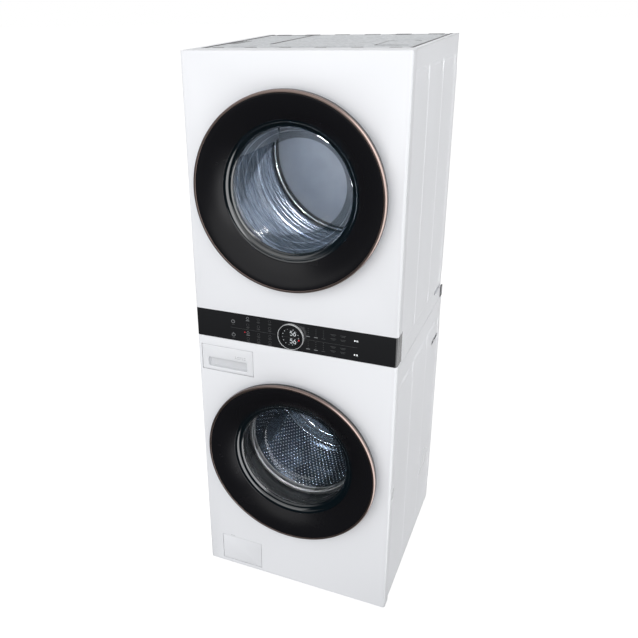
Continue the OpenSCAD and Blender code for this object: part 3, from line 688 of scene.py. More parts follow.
def lines_between(low, high, places, reach, fine, coarse):
    """Grid lines that crowd round the given places."""
    marks = {low, high}
    for place in places:
        steps = int(2 * reach / fine)
        for i in range(steps + 1):
            mark = place - reach + i * fine
            if low < mark < high:
                marks.add(round(mark, 3))
    ordered = sorted(marks)
    full = []
    for a, b in zip(ordered, ordered[1:]):
        parts = max(1, math.ceil((b - a) / coarse))
        full += [a + (b - a) * i / parts for i in range(parts)]
    return full + [ordered[-1]]


def field_height(y, z, edges, z0, z1, radius, step):
    """Raised height on a side sheet: a low step and a gentle rise at a field's front, a crisp step elsewhere."""
    height = 0.0
    for front, rear in zip(edges, edges[1:]):
        if not front <= y <= rear:
            continue
        into_rear = rear - y
        into_foot = z - z0
        into_head = z1 - z
        depth = min(into_rear, into_foot, into_head)
        if into_rear < radius and into_foot < radius:
            depth = radius - math.hypot(radius - into_rear, radius - into_foot)
        if into_rear < radius and into_head < radius:
            depth = radius - math.hypot(radius - into_rear, radius - into_head)
        crisp = stepped(depth, 0.0, 7.5)
        gentle = 0.5 * stepped(y - front, 0.0, 8.0) + 0.5 * stepped(y - front, 0.0, (rear - front) * 0.6)
        height = max(height, 0.99 * step * min(crisp, gentle))
    return height


def make_side(level, side):
    """One embossed side sheet with its folded edges and its grip pocket."""
    node = f"{level}_{side}_side"
    low, high = box_mm(node)
    sign = -1 if side == "left" else 1
    depth = high[1]
    z0, z1 = low[2], high[2]
    if level == "upper":
        edges, foot, head, grip = (WRAP_D + 3, 220, 420, 605, depth - 4), 1022, 1832, 1005
    else:
        edges, foot, head, grip = (WRAP_D + 3, 244, 458, 646, depth - 4), 80, 878, 808
    step, radius = SIDE_RELIEF, 62
    plane = HALF_W - step
    slot_y, slot_z = (543, 642), (grip - 8, grip + 8)
    ys = sorted(set(lines_between(WRAP_D, depth, edges, 10, 1.3, 24)) | set(slot_y))
    zs = sorted(set(lines_between(z0, z1, [foot + 30, head - 30], 38, 4, 45)) | set(slot_z))
    verts, faces = [], []
    for skin in (0.0, -1.0):
        for z in zs:
            for y in ys:
                rise = field_height(y, z, edges, foot, head, radius, step)
                verts.append((sign * (plane + rise + skin), y, z))
    wide, tall = len(ys), len(zs)
    layer = wide * tall
    hole = lambda i, j: ys[i] >= slot_y[0] and ys[i + 1] <= slot_y[1] and zs[j] >= slot_z[0] and zs[j + 1] <= slot_z[1]
    open_edges = {}
    for j in range(tall - 1):
        for i in range(wide - 1):
            if hole(i, j):
                continue
            corners = (j * wide + i, j * wide + i + 1, (j + 1) * wide + i + 1, (j + 1) * wide + i)
            faces.append(corners)
            faces.append(tuple(layer + c for c in reversed(corners)))
            for a, b in zip(corners, corners[1:] + corners[:1]):
                key = (min(a, b), max(a, b))
                open_edges[key] = None if key in open_edges else (a, b)
    faces += [(b, a, layer + a, layer + b) for a, b in filter(None, open_edges.values())]
    skin = piece(node + "_skin", verts, faces, WHITE)
    parts = [skin]

    def strip(tag, x0, x1, lo, hi, bevel=0.6):
        ends = sorted((sign * x0, sign * x1))
        parts.append(soft_box(node + tag, (ends[0], lo[0], lo[1]), (ends[1], hi[0], hi[1]), WHITE, bevel=bevel))

    strip("_rear", plane - 16, plane - 0.9, (depth - 1.5, z0), (depth, z1))
    strip("_foot", plane - 16, plane - 0.9, (WRAP_D, z0), (depth - 1.5, z0 + 1.5))
    strip("_bead", plane - 1.2, HALF_W - 1.5, (WRAP_D, z0), (WRAP_D + 4, z1), 0.8)
    # grip pocket: floor, roof, back and ends of a pressed cup
    y0, y1, g0, g1 = 540, 645, grip - 12, grip + 18
    strip("_cup_back", plane - 24, plane - 21, (y0, g0), (y1, g1))
    strip("_cup_floor", plane - 21, plane - 1, (y0, g0), (y1, slot_z[0]))
    strip("_cup_roof", plane - 21, plane - 1, (y0, slot_z[1]), (y1, g1))
    strip("_cup_end_a", plane - 21, plane - 1, (y0, slot_z[0]), (slot_y[0], slot_z[1]))
    strip("_cup_end_b", plane - 21, plane - 1, (slot_y[1], slot_z[0]), (y1, slot_z[1]))
    if level == "upper":
        strip("_top_fold", 322, plane, (90.5, TOP_TOP - 2), (depth, TOP_TOP), 0.8)
    made = merge(node + "_sheet", parts)
    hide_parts(node)


TOP_TOP = box_mm("top_front_strip")[1][2]

# ---- top of the dryer ----


def make_top():
    """Stamped plate with raised fields, a long groove, a recess, folded tabs and clips."""
    low, high = box_mm("top_plate")
    top = low[2] + 2.0
    fields = [(-120, 130, 140, 620, 30, 1.3), (190, 190, 285, 350, 20, 1.3), (-250, 150, -175, 225, 16, 1.3),
              (172, 400, 300, 610, 24, 1.3), (-159, 240, -149, 640, 5, -1.6), (-316, 255, -276, 385, 19, -1.6)]
    xs = lines_between(low[0], high[0], [v for f in fields for v in (f[0], f[2])], 6, 2, 30)
    ys = lines_between(low[1], high[1], [v for f in fields for v in (f[1], f[3])], 8, 3, 30)

    def height(x, y):
        total = 0.0
        for x0, y0, x1, y1, r, rise in fields:
            cx = max(x0 + r - x, x - x1 + r, 0)
            cy = max(y0 + r - y, y - y1 + r, 0)
            inside = r - math.hypot(cx, cy) if cx > 0 and cy > 0 else min(x - x0, x1 - x, y - y0, y1 - y)
            total += rise * stepped(inside, 0, 4)
        return total

    verts = [(x, y, top + height(x, y) - drop) for drop in (0, 1.0) for y in ys for x in xs]
    wide, layer = len(xs), len(xs) * len(ys)
    faces = []
    for j in range(len(ys) - 1):
        for i in range(wide - 1):
            quad = (j * wide + i, j * wide + i + 1, (j + 1) * wide + i + 1, (j + 1) * wide + i)
            faces += [quad, tuple(layer + c for c in reversed(quad))]
    rim = [i for i in range(wide)] + [j * wide + wide - 1 for j in range(1, len(ys))]
    rim += [layer - 1 - i for i in range(1, wide)] + [j * wide for j in range(len(ys) - 2, 0, -1)]
    faces += [(b, a, layer + a, layer + b) for a, b in zip(rim, rim[1:] + rim[:1])]
    parts = [piece("plate", verts, faces, TOP_ZINC)]
    # the tabs and clips are coloured dark zinc as painted shade
    for i in range(6):
        x = -270 + 108 * i
        parts.append(soft_box(f"rear_tab_{i}", (x - 26, high[1] - 26, top), (x + 26, high[1] - 9, TOP_TOP), SHADE_ZINC))
        parts.append(soft_box(f"front_clip_{i}", (x - 16, low[1] + 7, top), (x + 16, low[1] + 24, TOP_TOP), SHADE_ZINC))
    for x in (-304, 304):
        for y in (150, 370, 590):
            parts.append(lathe_up(f"top_screw_{x}_{y}", x, y, top, 5, 1.4, STEEL))
    # dark strips laid in the groove and the recess, and dark lines round the raised field's edges and along the front
    # and rear joints: painted shade
    parts.append(soft_box("groove_shade", (-159, 244, top - 1.5), (-149, 636, top + 0.6), BLACK_RUBBER, bevel=0.3))
    parts.append(soft_box("recess_shade", (-312, 262, top - 1.5), (-280, 378, top + 0.2), SHADE_ZINC, bevel=0.3))
    for tag, lo, hi in (("field_shade_front", (190, 186), (285, 189)), ("field_shade_left", (186, 189), (189, 350)),
                        ("field_shade_rear", (190, 351), (285, 354)), ("joint", (-308, 91.5), (308, 97)),
                        ("rear_joint", (-308, high[1] - 32), (308, high[1] - 28))):
        parts.append(soft_box(tag, (lo[0], lo[1], top - 0.4), (hi[0], hi[1], top + 0.5), BLACK_RUBBER, bevel=0.2))
    made = merge("stamped_top", parts)
    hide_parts("top_plate")
    # black strips in the gap beside each folded flange: painted shadow of the gap
    for side in (-1, 1):
        ends = sorted((side * 312, side * 321.9))
        soft_box(f"top_gap_shadow_{'right' if side > 0 else 'left'}", (ends[0], 91, TOP_TOP - 3.4),
                 (ends[1], high[1], TOP_TOP - 0.2), BLACK_RUBBER, bevel=0.3)


def lathe_up(name, x, y, z, radius, height, paint, body="root", steps=20, **how):
    """A low round-topped disc standing on a level surface, such as a screw head."""
    verts, faces = [], []
    profile = [(radius, 0), (radius, height * 0.4), (radius * 0.75, height * 0.85), (0, height)]
    for r, h in profile[:-1]:
        verts += [(x + r * math.cos(2 * math.pi * i / steps), y + r * math.sin(2 * math.pi * i / steps), z + h)
                  for i in range(steps)]
    tip = len(verts)
    verts.append((x, y, z + height))
    for k in range(2):
        faces += [(k * steps + i, k * steps + (i + 1) % steps, (k + 1) * steps + (i + 1) % steps,
                   (k + 1) * steps + i) for i in range(steps)]
    faces += [(2 * steps + i, 2 * steps + (i + 1) % steps, tip) for i in range(steps)]
    faces.append(tuple(range(steps - 1, -1, -1)))
    return piece(name, verts, faces, paint, body, **how)


def screw(name, x, y, z, facing, paint=STEEL, radius=4.5, body="root"):
    """A pan head on an upright surface; facing is -1 to the front and 1 to the rear."""
    steps = 20
    head = [(radius, 0), (radius, 1.0), (radius * 0.8, 1.9), (radius * 0.4, 2.3), (0, 2.4)]
    made = lathe(name, [(0, y)] + [(r, y + facing * d) for r, d in head], z, paint, body, x=x, steps=steps)
    return made


# ---- control band ----

PRINT_Y = -0.12


def glyph(name, outline, x, z, paint, scale=1.0, y=PRINT_Y, body="root"):
    return extruded(name, [(x + px * scale, z + pz * scale) for px, pz in outline], y, 0.02, paint, body,
                    smooth=False)


def ring_glyph(x, z, radius, width, paint, y=PRINT_Y, steps=40, body="root", name="ring_mark"):
    outer = arc((x, z), radius, 0, 360 - 360 / steps, steps - 1)
    inner = arc((x, z), radius - width, 0, 360 - 360 / steps, steps - 1)
    return ring_outline(name, outer, inner, y, y + 0.14, paint, body)


def bar_glyph(x0, z0, x1, z1, paint, y=PRINT_Y, name="bar_mark"):
    return extruded(name, [(x0, z0), (x1, z0), (x1, z1), (x0, z1)], y, y + 0.14, paint, smooth=False)


def bowl_of(centre, radii, start, end, count=18):
    """Points along part of an ellipse, in the unit box of a figure."""
    return [(centre[0] + radii[0] * math.cos(math.radians(start + (end - start) * k / count)),
             centre[1] + radii[1] * math.sin(math.radians(start + (end - start) * k / count)))
            for k in range(count + 1)]


FIGURE_STROKES = {
    "5": [(0.92, 1.0), (0.22, 1.0), (0.14, 0.56)] + bowl_of((0.48, 0.33), (0.46, 0.33), 118, -150),
    "6": [(0.78, 1.0), (0.50, 0.84), (0.24, 0.62)] + bowl_of((0.50, 0.32), (0.46, 0.32), 158, 520, 26),
}


def digit(figure, x, z, height, paint, y):
    """A round-cornered figure standing on z, drawn as one flat stroke of even width."""
    width, half = height * 0.60, height * 0.062
    path = [Vector((x + u * width, z + v * height)) for u, v in FIGURE_STROKES[figure]]
    verts, faces = [], []
    for index, point in enumerate(path):
        along = (path[min(index + 1, len(path) - 1)] - path[max(index - 1, 0)]).normalized()
        across = Vector((-along[1], along[0])) * half
        for side in (point + across, point - across):
            verts += [(side[0], y, side[1]), (side[0], y + 0.3, side[1])]
    for k in range(0, len(verts) - 4, 4):
        faces += [(k, k + 2, k + 6, k + 4), (k + 1, k + 5, k + 7, k + 3), (k, k + 4, k + 5, k + 1),
                  (k + 2, k + 3, k + 7, k + 6)]
    last = len(verts) - 4
    faces += [(0, 1, 3, 2), (last, last + 2, last + 3, last + 1)]
    return [piece("figure_" + figure, verts, faces, paint, smooth=False)]


def make_band():
    paint_node("control_fascia", FASCIA_BLACK, 0.6)
    lit, dim = [], []
    rows = {"dryer": DIAL_Z + 19, "washer": DIAL_Z - 29}
    # power symbols
    for z in rows.values():
        arc_outer = arc((-206, z), 6.4, 120, 420, 30)
        arc_inner = arc((-206, z), 5.2, 420, 120, 30)
        lit.append(extruded("power_arc", arc_outer + arc_inner, PRINT_Y, 0.02, PRINT, smooth=False))
        lit.append(bar_glyph(-206.7, z + 1, -205.3, z + 8.2, PRINT))
        lit.append(bar_glyph(-211, z - 11.5, -201, z - 10.3, FAINT_PRINT))
    # program keys: small pictures over a caption line
    for column, x in enumerate((-153, -115, -75)):
        for row, z in enumerate((DIAL_Z + 35, DIAL_Z + 11, DIAL_Z - 17, DIAL_Z - 38)):
            bright = column == 0 and row in (0, 2)
            paint = PRINT if bright else FAINT_PRINT
            lit.append(ring_glyph(x, z + 3, 5.0, 0.9, paint, steps=24 if row % 2 else 6))
            lit.append(bar_glyph(x - 6, z - 6.4, x + 6, z - 5.0, paint))
            if not bright:
                lit.append(bar_glyph(x - 4, z - 9.0, x + 4, z - 8.0, FAINT_PRINT))
    lit.append(ring_glyph(-164.5, DIAL_Z - 14, 1.5, 1.45, RED_LAMP, steps=16, name="red_mark"))
    # dividing line between the two machines' keys
    for x0, x1 in ((-217, -55), (55, 218)):
        lit.append(bar_glyph(x0, DIAL_Z - 3.6, x1, DIAL_Z - 2.9, FAINT_PRINT))
    # option columns to the right of the dial
    for column, x in enumerate((57, 83, 108)):
        for base in (DIAL_Z + 8, DIAL_Z - 36):
            for step in range(4):
                lit.append(bar_glyph(x - 1.3, base + 7 * step + 6, x + 1.3, base + 7 * step + 7.6, FAINT_PRINT))
            if column < 2:
                lit.append(bar_glyph(x - 6, base - 0.4, x + 6, base + 1.4, PRINT))
            else:
                lit.append(bar_glyph(x - 6, base - 0.2, x + 6, base + 1.0, FAINT_PRINT))
    for x in (140, 172):
        for z in (DIAL_Z + 28, DIAL_Z + 14, DIAL_Z - 14, DIAL_Z - 28):
            lit.append(bar_glyph(x - 9, z, x + 9, z + 1.3, FAINT_PRINT))
            lit.append(bar_glyph(x - 6, z - 4, x + 6, z - 2.9, FAINT_PRINT))
    # start and pause
    for z in rows.values():
        lit.append(extruded("start_mark", [(208, z - 3.2), (208, z + 3.2), (213.0, z)], PRINT_Y, 0.02, LAMP_WHITE,
                            smooth=False))
        for x in (215.2, 218.2):
            lit.append(bar_glyph(x, z - 3.0, x + 1.4, z + 3.0, LAMP_WHITE))
    made = merge("fascia_print", lit)
    make_dial(dim)


def make_dial(marks):
    """Slim polished ring round a black collar; the display inside stays still."""
    front = box_mm("cycle_dial")[0][1]
    ring = rounded([(DIAL_R - 1.6, front), (DIAL_R, front), (DIAL_R, front + 9), (DIAL_R - 1.6, front + 9)], 0.7)
    parts = [lathe("dial_rim", ring, DIAL_Z, DIAL_RIM, "dial", steps=128)]
    collar = rounded([(35, front + 1.0), (DIAL_R - 1.6, front + 0.6), (DIAL_R - 1.6, front + 9), (39, front + 9),
                      (39, 4.2), (41.5, 4.2), (41.5, 6), (35, 6)], 0.35, 2)
    parts.append(lathe("dial_collar", collar, DIAL_Z, FASCIA_BLACK, "dial", steps=128))
    made = merge("selector_ring", parts)
    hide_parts("cycle_dial")
    # display lens with the two remaining times and a dot for each cycle
    paint_node("display_module", FASCIA_BLACK, 0.3)
    face = box_mm("display_module")[0][1]
    y = face - 0.14
    for z in (DIAL_Z + 6.0, DIAL_Z - 21.0):
        for column, figure in enumerate("56"):
            marks += digit(figure, -2 + 11.5 * column, z, 15, FIGURES, y)
    for i in range(14):
        a = math.radians(112 + i * 24.5)
        x, z = 27.5 * math.cos(a), DIAL_Z + 27.5 * math.sin(a)
        if -0.45 < math.sin(a) < -0.1 and math.cos(a) > 0.75:
            continue
        paint = FIGURES if i % 3 else PRINT
        marks.append(extruded("cycle_dot", arc((x, z), 1.3, 0, 315, 7), y, y + 0.3, paint, smooth=False))
    marks.append(extruded("active_dot", arc((28.5, DIAL_Z - 8), 2.0, 0, 330, 11), y, y + 0.3, RED_LAMP,
                          smooth=False))
    marks.append(bar_glyph(-24, DIAL_Z - 1.4, 26, DIAL_Z - 1.0, FAINT_PRINT, y))
    made = merge("display_figures", marks)

# ---- washer: perforated drum and what shows inside it ----


def hole_cell(verts, faces, point, u0, u1, v0, v1, radius, dimple, sides=8):
    """One square of drum sheet with a round hole whose edge is pressed in a little."""
    start = len(verts)
    cu, cv = (u0 + u1) / 2, (v0 + v1) / 2
    rim = []
    for i in range(sides):
        a = 2 * math.pi * (i + 0.5) / sides
        rim.append((cu + radius * math.cos(a), cv + radius * math.sin(a)))
    edge = [(u1, cv), (u1, v1), (cu, v1), (u0, v1), (u0, cv), (u0, v0), (cu, v0), (u1, v0)]
    for u, v in edge:
        verts.append(point(u, v, 0))
    for u, v in rim:
        verts.append(point(cu + (u - cu) * 1.55, cv + (v - cv) * 1.55, 0))
    for u, v in rim:
        verts.append(point(u, v, dimple))
    for i in range(sides):
        j = (i + 1) % sides
        outer_a, outer_b = start + i, start + j
        mid = start + sides + i
        mid_next = start + sides + j
        faces.append((outer_a, outer_b, mid))
        faces.append((outer_b, mid_next, mid))
        faces.append((mid, mid_next, mid_next + sides, mid + sides))


def make_wash_drum():
    low, high = box_mm("washer_drum")
    radius = high[0] - 1.6
    y0, y1 = low[1] + 14, high[1] - 10
    body = "wash_drum"
    verts, faces = [], []
    around, along = 112, 24
    pitch_u, pitch_y = 2 * math.pi * radius / around, (y1 - y0) / along

    def wall(u, v, push):
        r, a = radius - push, u / radius
        return (r * math.cos(a), v, WASHER_Z + r * math.sin(a))

    for j in range(along):
        for i in range(around):
            u = (i + 0.5 * (j % 2)) * pitch_u
            hole_cell(verts, faces, wall, u, u + pitch_u, y0 + j * pitch_y, y0 + (j + 1) * pitch_y, 2.6, 1.6)
    sheet = piece("drum_wall", verts, faces, STAINLESS, body)
    solid = sheet.modifiers.new("sheet_thickness", "SOLIDIFY")
    solid.thickness = 0.7 * MM
    solid.offset = 1.0
    # rolled front with its mouth, and the rear wall with raised rings
    front = [(radius + 0.6, y0 + 0.5), (radius + 0.6, low[1] + 9), (radius - 2, low[1] + 5), (radius - 6, low[1] + 4),
             (236, low[1] + 2.6), (228, low[1] + 4.4), (220, low[1] + 2.0), (200, low[1] + 0.6), (191, low[1] + 0.2),
             (188.3, low[1] + 1.6), (188.3, low[1] + 5), (190, low[1] + 6), (191.5, low[1] + 4), (200, low[1] + 2.6),
             (219, low[1] + 4), (228, low[1] + 6.4), (237, low[1] + 4.6), (radius - 7, low[1] + 6),
             (radius - 1, low[1] + 10), (radius - 1, y0 + 0.5)]
    lathe("drum_front", front, WASHER_Z, CHROME, body, steps=128)
    back_y = high[1]
    inside = [(radius - 1, y1 - 0.5), (radius - 1, back_y - 9), (radius - 3, back_y - 6), (radius - 7, back_y - 3.6),
              (radius - 14, back_y - 3), (232, back_y - 3), (229, back_y - 8), (222, back_y - 11), (214, back_y - 11),
              (207, back_y - 8), (204, back_y - 3.4), (80, back_y - 3.4), (74, back_y - 8), (60, back_y - 10.5),
              (46, back_y - 10.5), (38, back_y - 5), (0, back_y - 4.4)]
    outside = [(r, y + 1.6) for r, y in reversed(inside[4:])] + [(radius - 5, back_y - 1.6), (radius + 0.4, back_y - 7),
                                                                (radius + 0.4, y1 - 0.5)]
    lathe("drum_back", inside + outside, WASHER_Z, STAINLESS, body, steps=144)
    # six shallow domes on the rear wall, each with a field of pressed dots
    dots = []
    for k in range(6):
        a = math.radians(232 + 60 * k)
        cx, cz = 142 * math.cos(a), WASHER_Z + 142 * math.sin(a)
        dome = [(0, back_y - 8.4), (24, back_y - 8.2), (36, back_y - 7.2), (42, back_y - 5), (45, back_y - 3.3),
                (45, back_y - 3.0), (0, back_y - 3.0)]
        lathe(f"drum_dome_{k}", dome, cz, STAINLESS, body, x=cx, steps=48)
        for i in range(-4, 5):
            for j in range(-4, 5):
                u, v = (i + 0.5 * (j % 2)) * 8.4, j * 7.3
                if math.hypot(u, v) < 34:
                    dots.append((cx + u, cz + v, back_y - 8.1 + 0.0011 * (u * u + v * v)))
    verts, faces = [], []
    for cx, cz, base in dots:
        start = len(verts)
        for r, lift in ((2.7, 0.3), (1.7, 1.2)):
            verts += [(cx + r * math.cos(math.pi * k / 4), base - lift + 0.5, cz + r * math.sin(math.pi * k / 4))
                      for k in range(8)]
        verts.append((cx, base - 1.2, cz))
        verts.append((cx, base + 0.9, cz))
        for k in range(8):
            n = (k + 1) % 8
            faces += [(start + k, start + n, start + 8 + n, start + 8 + k),
                      (start + 8 + k, start + 8 + n, start + 16), (start + n, start + k, start + 17)]
    piece("drum_back_dimples", verts, faces, CHROME, body)
    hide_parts("washer_drum")
    make_lifters(body)


def make_lifters(body):
    """Three hollow-looking paddles: swept triangular ridges with rounded crests."""
    low, high = box_mm("drum_lifters")
    y0, y1 = low[1], high[1]
    parts = []
    for index, angle in enumerate((90, 210, 330)):
        verts, faces = [], []
        sections = 26
        profile = 20
        for s in range(sections + 1):
            t = s / sections
            taper = min(1.0, 6 * t, 6 * (1 - t)) ** 0.6
            twist = 5.0 * math.sin(math.pi * 2 * t)
            for k in range(profile + 1):
                across = -1 + 2 * k / profile
                half = 33 * (0.55 + 0.45 * taper)
                rise = 47 * taper * (1 - abs(across) ** 1.25) ** 1.1
                radial = math.sqrt(max(0, 259.6 ** 2 - (across * half) ** 2)) - 0.4 - rise
                side = across * half + twist * (rise / 47)
                a = math.radians(angle)
                x = radial * math.cos(a) - side * math.sin(a)
                z = radial * math.sin(a) + side * math.cos(a)
                verts.append((x, y0 + (y1 - y0) * t, WASHER_Z + z))
        wide = profile + 1
        for s in range(sections):
            for k in range(profile):
                faces.append((s * wide + k, s * wide + k + 1, (s + 1) * wide + k + 1, (s + 1) * wide + k))
            faces.append((s * wide + profile, s * wide, (s + 1) * wide, (s + 1) * wide + profile))
        faces.append(tuple(range(wide)))
        faces.append(tuple(range(sections * wide + profile, sections * wide - 1, -1)))
        parts.append(piece(f"lifter_{index}", verts, faces, STAINLESS, body))
    made = merge("lifters", parts)
    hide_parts("drum_lifters")


def make_boot():
    """Grey bellows between the panel's lip and the tub, with its folds and front bead."""
    low, high = box_mm("boot_gasket")
    y0, y1 = low[1], high[1]
    outer = [(207.5, y0), (208, y0 + 9), (214, y0 + 12), (222, y0 + 18), (227.5, y0 + 27), (227.5, y0 + 41),
             (223, y0 + 50), (216, y0 + 56), (214.6, y0 + 62), (214.6, y1)]
    inner = [(209, y1), (209, y0 + 56), (213, y0 + 50), (219, y0 + 44), (221.5, y0 + 36), (219, y0 + 28),
             (210, y0 + 20), (203, y0 + 16), (196, y0 + 15.4), (193, y0 + 12), (192.4, y0 + 7), (194.5, y0 + 3.5),
             (197, y0 + 2.6), (199, y0)]
    lathe("boot", outer + inner, WASHER_Z, BOOT, "root", steps=144, replaces=["boot_gasket"], slot="grey_rubber")


# ---- dryer: drum and bulkheads ----


def make_dry_drum():
    low, high = box_mm("dryer_drum")
    radius, y0, y1 = high[0], low[1], high[1]
    body = "dry_drum"
    # rolled drum wall: two deep stiffening grooves and groups of narrow ones
    wall_r = radius - 2.8
    inner = [(wall_r, y0)]
    deep = (196, 436)
    narrow = (76, 84, 92, 112, 128, 136, 144, 152, 168, 224, 236, 262, 270, 278, 306, 330, 338, 366, 390, 398, 406,
              466, 490, 498, 520, 536, 544)
    for y in sorted(deep + narrow):
        if y in deep:
            inner += [(wall_r, y - 13), (wall_r - 2, y - 11), (wall_r - 4.6, y - 8), (wall_r - 4.8, y + 8),
                      (wall_r - 2, y + 11), (wall_r, y + 13)]
        else:
            inner += [(wall_r, y - 2.0), (wall_r + 1.3, y - 0.9), (wall_r + 1.3, y + 0.9), (wall_r, y + 2.0)]
    inner.append((wall_r, y1))
    outer = [(r + 1.1, y) for r, y in reversed(inner)]
    lathe("dryer_shell", inner + outer, DRYER_Z, DRUM_SHEET, body, steps=160, replaces=["dryer_drum"],
          slot="stainless")
    # three baffles with rounded crests
    b_low, b_high = box_mm("dryer_baffles")
    parts = []
    for index, angle in enumerate((45, 165, 285)):
        verts, faces = [], []
        sections, profile = 24, 18
        for s in range(sections + 1):
            t = s / sections
            taper = min(1.0, 5 * t, 5 * (1 - t)) ** 0.6
            for k in range(profile + 1):
                across = -1 + 2 * k / profile
                half = 34 * (0.7 + 0.3 * taper)
                rise = 54 * taper * (1 - abs(across) ** 1.3) ** 1.3
                radial = math.sqrt(291.4 ** 2 - (across * half) ** 2) - 0.4 - rise
                a = math.radians(angle)
                verts.append((radial * math.cos(a) - across * half * math.sin(a), b_low[1] + (b_high[1] - b_low[1]) * t,
                              DRYER_Z + radial * math.sin(a) + across * half * math.cos(a)))
        wide = profile + 1
        for s in range(sections):
            for k in range(profile):
                faces.append((s * wide + k, s * wide + k + 1, (s + 1) * wide + k + 1, (s + 1) * wide + k))
            faces.append((s * wide + profile, s * wide, (s + 1) * wide, (s + 1) * wide + profile))
        faces.append(tuple(range(wide)))
        faces.append(tuple(range(sections * wide + profile, sections * wide - 1, -1)))
        parts.append(piece(f"baffle_{index}", verts, faces, BAFFLE_GREY, body))
    made = merge("baffles", parts)
    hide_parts("dryer_baffles")
    # a felt seal at the front that the drum glides on
    for tag, y in (("front", y0 + 1),):
        felt = rounded([(radius - 9, y), (radius - 2.6, y), (radius - 2.6, y + 9), (radius - 9, y + 9)], 1.5)
        lathe(f"felt_seal_{tag}", felt, DRYER_Z, FELT, "root", steps=120)


def make_bulkheads():
    """Front and rear walls of the drying chamber, kept from the frame and dressed."""
    paint_node("dryer_front_bulkhead", BACK_SHEET, 0.8)
    paint_node("dryer_rear_bulkhead", BACK_SHEET)
    # polished rim between dark seals where the drum's rear edge runs
    for tag, paint, r0, r1, ya, yb, soft in (("seal_outer", DARK, 291.5, 296.6, 568, 577, 1.0),
                                             ("rim", CHROME, 289.5, 296.6, 577, 590, 4.0),
                                             ("seal_inner", DARK, 286, 291.8, 590, 602.5, 1.5)):
        lathe("chamber_" + tag, rounded([(r0, ya), (r1, ya), (r1, yb), (r0, yb)], soft), DRYER_Z, paint, "root", steps=160)
    low, high = box_mm("dryer_rear_bulkhead")
    face = 603
    shallow = [(0, face - 5), (120, face - 4.6), (190, face - 3), (236, face - 0.8), (246, face - 0.1), (246, face + 0.6),
               (0, face + 0.6)]
    lathe("rear_dome", shallow, DRYER_Z, BACK_SHEET, "root", steps=128)




# ---- drawer, flap and door hardware ----


def loft(name, rings, paint, body="root", cap_first=True, cap_last=True, **how):
    """Skin over closed rings that have the same number of points."""
    n = len(rings[0])
    verts = [v for ring in rings for v in ring]
    faces = []
    for k in range(len(rings) - 1):
        for i in range(n):
            j = (i + 1) % n
            faces.append((k * n + i, k * n + j, (k + 1) * n + j, (k + 1) * n + i))
    if cap_first:
        faces.append(tuple(range(n - 1, -1, -1)))
    if cap_last:
        faces.append(tuple(range((len(rings) - 1) * n, len(rings) * n)))
    return piece(name, verts, faces, paint, body, **how)


def flat_ring(x0, z0, x1, z1, radius, y, grow=0.0):
    """Rounded rectangle at one depth, grown outwards by a few millimetres."""
    return [(x, y, z) for x, z in soft_rect(x0 - grow, z0 - grow, x1 + grow, z1 + grow, max(0.2, radius + grow))]


def pad(name, x0, z0, x1, z1, radius, y, rise, paint, body="root", edge=2.0, **how):
    """A pressed field: its skin rises from y by rise, with sloping edges."""
    return loft(name, [flat_ring(x0, z0, x1, z1, radius, y), flat_ring(x0, z0, x1, z1, radius, y + rise * 0.2, -0.2),
                       flat_ring(x0, z0, x1, z1, radius, y + rise * 0.85, -edge * 0.8),
                       flat_ring(x0, z0, x1, z1, radius, y + rise, -edge * 1.3)], paint, body, **how)


def upright(name, x, y, z0, z1, radius, paint, body="root", steps=32, **how):
    """An upright round bar with softened ends."""
    soft = min(0.6, radius * 0.2, (z1 - z0) * 0.2)
    verts, faces = [], []
    for r, z in ((radius - soft, z0), (radius, z0 + soft), (radius, z1 - soft), (radius - soft, z1)):
        verts += [(x + r * math.cos(2 * math.pi * i / steps), y + r * math.sin(2 * math.pi * i / steps), z)
                  for i in range(steps)]
    for k in range(3):
        faces += [(k * steps + i, k * steps + (i + 1) % steps, (k + 1) * steps + (i + 1) % steps,
                   (k + 1) * steps + i) for i in range(steps)]
    faces += [tuple(range(steps - 1, -1, -1)), tuple(range(3 * steps, 4 * steps))]
    return piece(name, verts, faces, paint, body, **how)


